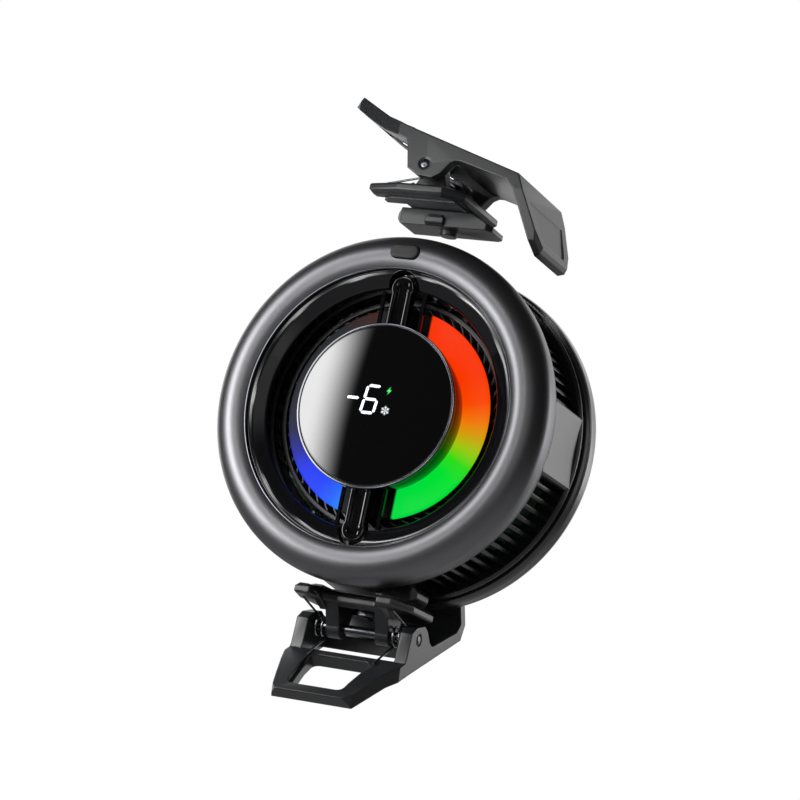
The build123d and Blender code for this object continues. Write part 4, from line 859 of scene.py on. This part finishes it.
# Rear housing. A ring moulded in ABS and sprayed a satin dark grey, with a shadow
# groove at its front and a flat back, held by four screws in round sinks.
housing_radius, housing_front, housing_back = span("rear_housing")
housing_corners = [
    [28.6, housing_front], [32.4, housing_front], [32.4, 26.2], [34.3, 26.2], [34.8, 26.8],
    [housing_radius, 27.6], [housing_radius, 29.9], [34.85, 30.6], [34.4, 31.15],
    [33.5, housing_back], [28.1, housing_back], [28.1, 29.9], [33.5, 29.9], [33.5, 26.8], [28.6, 26.8],
]
housing_rounds = [0.1, 0.1, 0.1, 0.15, 0.5, 0.8, 0.8, 0.6, 0.6, 0.8, 0.15, 0.1, 0.1, 0.1, 0.1]
sink_radius = 1.6
sink_place = 31.2
sink_floor = 30.3

# Dark lacquer under a clear coat: a broad soft glow with a sharper one on top.
satin_dark = finish_named("satin_dark_lacquer", "#3a3a3d", 0.36, 0.7, Coat_Weight=0.6, Coat_Roughness=0.16)
grain(satin_dark, 0.4, 0.002, 0.26, 0.34)
housing_mesh = turned(soften(housing_corners, housing_rounds, 4))
housing = piece("housing_shell", *housing_mesh, "root", satin_dark, "satin_black", ["rear_housing"])


def cut_away(target, points, faces):
    """Takes a closed shape out of a piece and throws the shape away."""
    cutter = new_object("cutter", points, faces)
    mend(cutter.data)
    cut = target.modifiers.new("cut", "BOOLEAN")
    cut.object = cutter
    cut.solver = "EXACT"
    bpy.context.view_layer.update()
    evaluated = target.evaluated_get(bpy.context.evaluated_depsgraph_get())
    result = bpy.data.meshes.new_from_object(evaluated)
    target.modifiers.remove(cut)
    target.data = result
    bpy.data.objects.remove(cutter)
    smooth(target.data, 32)


sinks = circles(sink_radius, sink_place, [45, 135, 225, 315], 48)
cut_away(housing, *drawn(sinks, sink_floor, housing_back + 0.6, caps=[0, 1]))

# Cold face. An aluminium plate, faced on a lathe, stands a little out of the
# housing and carries the glued silicone pad that lies against the phone.
flange_radius, seat_front, plate_back = span("cold_plate")
plate_front = 29.0
plate_radius = 27.5
flange_back = 29.8
plate_corners = [
    [pole, plate_front], [flange_radius, plate_front], [flange_radius, flange_back],
    [plate_radius, flange_back], [plate_radius, plate_back], [pole, plate_back],
]
seat_half = 16
pad_radius = span("thermal_pad")[0]

# Faced aluminium shows fine rings from the cutter, as bright arcs. They are drawn
# 0.6 mm apart, coarser than the real ones, so that they show.
milled = finish_named("milled_aluminium", "#b9bcc1", 0.32, 1.0)
tool_marks = add(
    milled, "ShaderNodeTexWave", {"wave_type": "RINGS", "rings_direction": "Y"},
    Vector=add(milled, "ShaderNodeTexCoord").outputs["Object"], Scale=1 / (0.6 * MM), Distortion=0.4,
)
milled_bump = add(milled, "ShaderNodeBump", Height=tool_marks.outputs["Fac"], Distance=0.004 * MM)
join(milled, milled_bump, surface_of(milled).inputs["Normal"])

# Silicone with a powdered skin takes light without any gloss and looks slightly soft.
silicone = finish_named("grey_silicone", "#4a4c50", 0.75, IOR=1.41, Sheen_Weight=0.15)
grain(silicone, 0.6, 0.02, 0.68, 0.84)
plate = turned(soften(plate_corners, [0, 0.1, 0.1, 0.1, 0.3, 0], 3), 192)
seat = box_part((-seat_half, seat_front, -seat_half), (seat_half, plate_front + 0.1, seat_half))
piece("cold_disc", *joined(plate, seat), "root", milled, "aluminium", ["cold_plate"])
pad_profile = hoop_profile(pole, pad_radius, plate_back, DEPTH, [0, 0.05, 0.22, 0], 4)
piece("pad_disc", *turned(pad_profile, 192), "root", silicone, "silicone_pad", ["thermal_pad"])

# Clips. Each is a foot that plugs into the waist, a bracket that swivels on it and a
# loop lever with a jaw, moulded in dark glass-filled nylon, with a slide strip
# under the bracket and a rubber pad glued into the jaw.
foot_body = {"upper": "upper_foot_body", "lower": "root"}

# Glass-filled nylon is dark grey with a dry sheen, and its edges show as thin lines.
clip_nylon = finish_named("glass_filled_nylon", "#212224", 0.34, IOR=1.52)
grain(clip_nylon, 0.15, 0.0015, 0.29, 0.38, 2.0, edge=0.45)
# Acetal, cut from sheet, is a little paler and waxy.
strip_acetal = finish_named("cut_acetal", "#303134", 0.4)
grain(strip_acetal, 0.15, 0.004, 0.36, 0.46, edge=0.2)
# Moulded rubber is the dullest black of the clip.
jaw_rubber = finish_named("moulded_rubber", "#1c1c1e", 0.85, IOR=1.45)
grain(jaw_rubber, 0.25, 0.02, 0.78, 0.92)
for side in ("upper", "lower"):
    bracket_body = f"{side}_bracket_body"
    lever_body = f"{side}_lever_body"
    broken_edges(f"{side}_foot_shell", f"{side}_foot", foot_body[side], clip_nylon, 0.22)
    broken_edges(f"{side}_bracket_shell", f"{side}_bracket", bracket_body, clip_nylon, 0.2)
    broken_edges(f"{side}_lever_shell", f"{side}_lever", lever_body, clip_nylon, 0.25)
    broken_edges(f"{side}_strip_shell", f"{side}_base_pad", bracket_body, strip_acetal, 0.1)
    broken_edges(f"{side}_jaw_rubber", f"{side}_jaw_pad", lever_body, jaw_rubber, 0.15)

# Hinge pins and screws. Steel pins ground to size, with softly broken ends, pressed
# through knuckles and cheeks, and cross-slot screws that hold the swivels.
screw_low, screw_high = corners_of("lower_swivel_screw")
swivel_depth = (screw_low[1] + screw_high[1]) / 2
pulled_out = round(corners_of("upper_swivel_screw")[0][2] + screw_high[2], 2)
pin_low, pin_high = corners_of("lower_hinge_pin")
pin_half = pin_high[0]
pin_radius = round((pin_high[2] - pin_low[2]) / 2, 2)
pin_height = round(-(pin_low[2] + pin_high[2]) / 2, 2)
pin_ahead = swivel_depth - (pin_low[1] + pin_high[1]) / 2
pin_steps = 40
pin_end = np.array([
    [pin_half, 0.001], [pin_half, pin_radius - 0.2],
    [pin_half - 0.08, pin_radius - 0.06], [pin_half - 0.2, pin_radius],
])

# Ground steel is bright, with fine lines across it.
ground_steel = finish_named("ground_steel", "#5e5f63", 0.3, 1.0)
grain(ground_steel, 0.12, 0.002, 0.18, 0.32, 2.0, (0.1, 1, 1))


def placed(points, side):
    """Points given in a plugged-in upper clip whose jaw looks back, moved to where
    the clip is: turned a quarter and pulled out above, or half over below."""
    x, y, z = np.asarray(points, float).reshape(-1, 3).T
    if side == "upper":
        return in_frame(np.column_stack([y, swivel_depth - x, z + pulled_out]))
    return in_frame(np.column_stack([-x, y + swivel_depth, -z]))


def pin_points():
    """A profile of length and radius, the same at both ends, carried round the pin."""
    length, radius = np.vstack([pin_end * (-1, 1), pin_end[::-1]]).T
    angle = np.linspace(0, 2 * np.pi, pin_steps, endpoint=False)[:, None]
    points = spread(length, radius * np.cos(angle) - pin_ahead, radius * np.sin(angle) + pin_height)
    return points, grid_faces(pin_steps, len(length), True, False)


for side in ("upper", "lower"):
    points, faces = pin_points()
    pin = (placed(points, side), faces, f"{side}_lever_body", ground_steel, "pin_steel")
    piece(f"{side}_pin", *pin, [f"{side}_hinge_pin"])
    broken_edges(f"{side}_screw_head", f"{side}_swivel_screw", foot_body[side], ground_steel, 0.12, 2, 35)

# Torsion springs. Drawn steel wire wound round the pin between knuckle and cheek;
# one leg lies on the bracket, the other under the handle, so that opening the real
# clip twists the coil; here each coil is built at rest and rides on no body.
wire = 0.45
wire_sides = 14
coil_radius = 1.9
coil_outer = 9.625
coil_inner = 7.125
most_turns = 2.9
leg_low = np.array([-8.5, -4.015])
leg_high = {"upper": np.array([-8.0, 5.46]), "lower": np.array([-7.05, 6.64])}

# Drawn wire is smooth and bright, and each turn has one sharp highlight.
spring_steel = finish_named("drawn_spring_wire", "#8b8c90", 0.26, 1.0)
grain(spring_steel, 0.1, 0.002, 0.16, 0.3)


def leg_angle(tip, sense):
    """Angle on the coil where a straight leg to the tip touches it."""
    return math.atan2(tip[1], tip[0]) + sense * math.acos(coil_radius / math.hypot(*tip))


def spring_line(leg_end):
    """Leg, coil and leg: a helix with as many turns as are allowed, whose pitch
    fades at both ends by a sine, and straight legs that touch it."""
    whole = 2 * math.pi
    first = leg_angle(leg_low, 1)
    last = leg_angle(leg_end, -1) % whole + 2 * whole
    while last - first > most_turns * whole:
        last -= whole
    share = np.linspace(0, 1, 121)
    angle = first + (last - first) * share
    x = coil_outer + (coil_inner - coil_outer) * (share - np.sin(whole * share) / whole * 0.35)
    coil = np.column_stack([x, coil_radius * np.cos(angle), coil_radius * np.sin(angle)])
    along = np.linspace(0, 1, 12, endpoint=False)[:, None]
    tip = np.array([coil_inner, *leg_end])
    first_leg = np.array([coil_outer, *leg_low]) * (1 - along) + coil[0] * along
    second_leg = coil[-1] * (1 - along[1:]) + tip * along[1:]
    return np.vstack([first_leg, coil, second_leg, [tip]]) + (0, -pin_ahead, pin_height)


def wire_mesh(line):
    """A circle carried along a line, its frame held by the coil's own axis."""
    way = np.gradient(line, axis=0)
    way /= np.linalg.norm(way, axis=1)[:, None]
    side_axis = np.cross(way, (1.0, 0, 0))
    side_axis /= np.linalg.norm(side_axis, axis=1)[:, None]
    up_axis = np.cross(side_axis, way)
    angle = np.linspace(0, 2 * np.pi, wire_sides, endpoint=False)[:, None]
    ring = side_axis[:, None] * np.cos(angle) + up_axis[:, None] * np.sin(angle)
    points = (line[:, None] + ring * wire / 2).reshape(-1, 3)
    faces = grid_faces(len(line), wire_sides, False, True).tolist()
    return points, faces + [list(range(wire_sides)), list(range(len(points) - wire_sides, len(points)))]


for side in ("upper", "lower"):
    for hand, sign in (("right", 1), ("left", -1)):
        points, faces = wire_mesh(spring_line(leg_high[side]) * (sign, 1, 1))
        coil = (placed(points, side), faces, None, spring_steel, "spring_steel")
        spring = piece(f"{side}_coil_{hand}", *coil, sharp=60)
        coil_ends = [[sign * end, -pin_ahead, pin_height] for end in (coil_outer, coil_inner)]
        start, end = placed(coil_ends, side)
        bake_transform(spring)
        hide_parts(f"{side}_spring_{hand}")

# Inner pieces. Boards, cold stack, motor and fasteners, screwed and glued inside,
# seen through the openings or not at all, each in the plain finish of its kind.
by_slot = {"black_plastic": waist_plastic, "aluminium": milled, "switch_black": key_plastic}

# A row gives a slot, its material, colour, roughness and metallic, the size and
# depth of its grain, and the limits of its roughness.
inner_finishes = [
    # Zinc plate is a cool, slightly cloudy grey.
    ("steel", "zinc_plated_steel", "#9a9ca0", 0.34, 1.0, 0.15, 0.003, 0.28, 0.42),
    # Lacquered wire is a warm dark orange.
    ("copper", "lacquered_copper", "#b06a3a", 0.35, 1.0, 0.2, 0.02, 0.3, 0.45),
    # Solder mask is a deep green with a wet sheen.
    ("circuit_board", "solder_mask", "#12402a", 0.35, 0.0, 0.8, 0.01, 0.3, 0.42),
    # Fired alumina is a chalky white.
    ("ceramic_white", "fired_alumina", "#e4e3de", 0.6, 0.0, 0.3, 0.004, 0.55, 0.7),
    # Cut foam is black and open, with no sheen at all.
    ("foam_black", "cut_foam", "#1a1a1b", 0.9, 0.0, 0.5, 0.06, 0.85, 0.95),
    # Bonded magnet is a dull dark grey with a grainy look.
    ("magnet_grey", "bonded_magnet", "#3a3b3d", 0.5, 0.7, 0.2, 0.006, 0.45, 0.6),
]
for slot, name, colour, roughness, metallic, size, depth, low, high in inner_finishes:
    by_slot[slot] = finish_named(name, colour, roughness, metallic)
    grain(by_slot[slot], size, depth, low, high)
# Deep-drawn steel is bright, with faint lines in it.
port_steel = finish_named("drawn_steel", "#aeb0b4", 0.22, 1.0)
grain(port_steel, 0.2, 0.002, 0.18, 0.3, 2.0, (1, 0.2, 1))
by_slot["port_steel"] = port_steel
for node, slot in slot_of.items():
    if slot in by_slot:
        nodes[node].data.materials.clear()
        nodes[node].data.materials.append(by_slot[slot])

# Studio. A white backdrop that metal and glass see behind the object, a dark room
# in front of it, a pale floor well below, and soft panels with faded edges.
viewer = np.array([0.416, -0.890, -0.186])  # from the object towards the camera
floor_level = -200.0
floor_half = 1500.0
world = bpy.data.worlds.new("studio")
bpy.context.scene.world = world
world.use_nodes = True
background = world.node_tree.nodes["Background"]
looking = add(world, "ShaderNodeTexCoord").outputs["Generated"]
towards = add(world, "ShaderNodeVectorMath", {"operation": "DOT_PRODUCT"}, i0=looking, i1=tuple(-viewer))
backdrop = add(
    world, "ShaderNodeMapRange", {"interpolation_type": "SMOOTHSTEP"}, Value=towards.outputs["Value"],
    From_Min=0.5, From_Max=0.9, To_Min=0.03, To_Max=1.0,
)
seen = add(world, "ShaderNodeLightPath").outputs["Is Camera Ray"]
strength = add(world, "ShaderNodeMath", {"operation": "MAXIMUM"}, i0=backdrop, i1=seen)
join(world, strength, background.inputs["Strength"])
join(world, (1, 1, 1, 1), background.inputs["Color"])

# Matte paper is an even white; the part of it that the camera sees is lit evenly.
floor_paper = finish_named("floor_paper", "#f4f4f4", 0.9)
floor_seen = add(floor_paper, "ShaderNodeLightPath").outputs["Is Camera Ray"]
floor_light = add(floor_paper, "ShaderNodeMath", {"operation": "MULTIPLY"}, i0=floor_seen, i1=0.72)
join(floor_paper, floor_light, surface_of(floor_paper).inputs["Emission Strength"])
floor_corners = np.array([[-1, -1], [1, -1], [1, 1], [-1, 1]]) * floor_half
floor_points = np.column_stack([floor_corners, np.full(4, floor_level)]) * MM
floor = new_object("floor", floor_points, [[0, 1, 2, 3]])
floor.data.materials.append(floor_paper)


def panel(name, place, aim, size, brightness, fade=0.3, turn=0.0, only=(), spare=()):
    """A rectangular lamp at a place in millimetres, turned to its aim and then about
    its own axis. Its light fades over a share of its width and height. As with a
    studio flag, it lights only some pieces, or spares some."""
    data = bpy.data.lights.new(name, "AREA")
    data.shape = "RECTANGLE"
    data.size, data.size_y = size[0] * MM, size[1] * MM
    data.energy = brightness * math.pi * data.size * data.size_y
    data.use_nodes = True
    where = add(data, "ShaderNodeNewGeometry").outputs["Parametric"]
    split = add(data, "ShaderNodeSeparateXYZ", Vector=where)
    faded = []
    for coordinate in (split.outputs[0], split.outputs[1]):
        near = add(data, "ShaderNodeMath", {"operation": "PINGPONG"}, i0=coordinate, i1=0.5)
        eased = {"interpolation_type": "SMOOTHSTEP"}
        faded.append(add(data, "ShaderNodeMapRange", eased, Value=near, From_Max=fade))
    both = add(data, "ShaderNodeMath", {"operation": "MULTIPLY"}, i0=faded[0], i1=faded[1])
    join(data, both, data.node_tree.nodes["Emission"].inputs["Strength"])
    made = bpy.data.objects.new(name, data)
    bpy.context.collection.objects.link(made)
    made.location = np.array(place) * MM
    way = Vector(np.array(aim, float) - np.array(place, float)).to_track_quat("-Z", "Y").to_matrix()
    made.rotation_euler = (way @ Matrix.Rotation(turn, 3, "Z")).to_euler()
    made.visible_camera = False
    if only or spare:
        flag = bpy.data.collections.new(f"{name}_flag")
        made.light_linking.receiver_collection = flag
        for one in (*only, *spare):
            flag.objects.link(bpy.data.objects[one])
        for linked in flag.collection_objects:
            linked.light_linking.link_state = "INCLUDE" if only else "EXCLUDE"


front_ring = ["ring_shell"]
left_panel = ((-77, -100, 6), (-30, -33, 4), (66, 140))
panel("near_left", *left_panel, 9.5, spare=["ring_shell", "bezel_cone"])
panel("ring_left", *left_panel, 7.6, 0.38, only=front_ring)
panel("front_right", (60, -160, 10), (10, -33, 0), (90, 150), 0.5)
panel("right_wall", (420, -80, 60), (0, -20, 0), (260, 420), 1.0, spare=front_ring)
panel("rim_back", (300, 420, 120), (0, 0, 0), (260, 360), 3.0)
panel("rim_left", (-420, 200, 60), (0, 0, 0), (200, 420), 1.0)
panel("top_soft", (60, -40, 420), (0, -20, 0), (260, 200), 3.0, spare=front_ring)
panel("low_right", (220, -40, -300), (20, -15, -20), (160, 70), 8.0, only=["waist_shell", "housing_shell"])

# Small lamps stand where the trim line and the bezel mirror them to the viewer, each
# at its own angle round the axis, as short bright streaks.
streak_degrees = [27, 54, 74, 110, 140, 181, 223, 253, 286]
streak_radius = 26.9
streak_depth = 1.4
streak_lean = math.radians(15.5)
streak_distance = 170
glass_pieces = ["glass_cover", "digit_six", "bolt_sign", "flake_sign"]
for number, turn in enumerate(np.radians(streak_degrees)):
    outwards = math.sin(streak_lean) * np.array([math.cos(turn), 0, math.sin(turn)])
    normal = -outwards - (0, math.cos(streak_lean), 0)
    mirrored = 2 * (normal @ viewer) * normal - viewer
    spot = np.array([streak_radius * math.cos(turn), streak_depth - DEPTH, streak_radius * math.sin(turn)])
    lamp = spot + mirrored * streak_distance
    panel(f"ring_light_{number}", lamp, spot, (36, 36), 13.0, 0.5, spare=glass_pieces)
    panel(f"streak_{number}", lamp, spot, (17, 100), 34.0, 0.5, turn - math.pi / 2, only=["bezel_cone"])

# Camera. At the photograph's angle: right of the display, a little below it and
# rolled, with a long lens.
camera_right = np.array([0.90324, 0.38007, 0.19923])
camera_down = np.array([0.10651, 0.25119, -0.96206])
camera_forward = np.array([-0.41570, 0.89020, 0.18640])
camera_place = np.array([245.75, -548.33, -106.29]) * MM
camera_data = bpy.data.cameras.new("camera")
camera_data.sensor_width = 36.0
camera_data.lens = 135.0
camera = bpy.data.objects.new("camera", camera_data)
bpy.context.collection.objects.link(camera)
axes = np.column_stack([camera_right, -camera_down, -camera_forward, camera_place])
camera.matrix_world = Matrix([*axes.tolist(), [0, 0, 0, 1]])
bpy.context.scene.camera = camera
bpy.context.scene.view_settings.view_transform = "Standard"
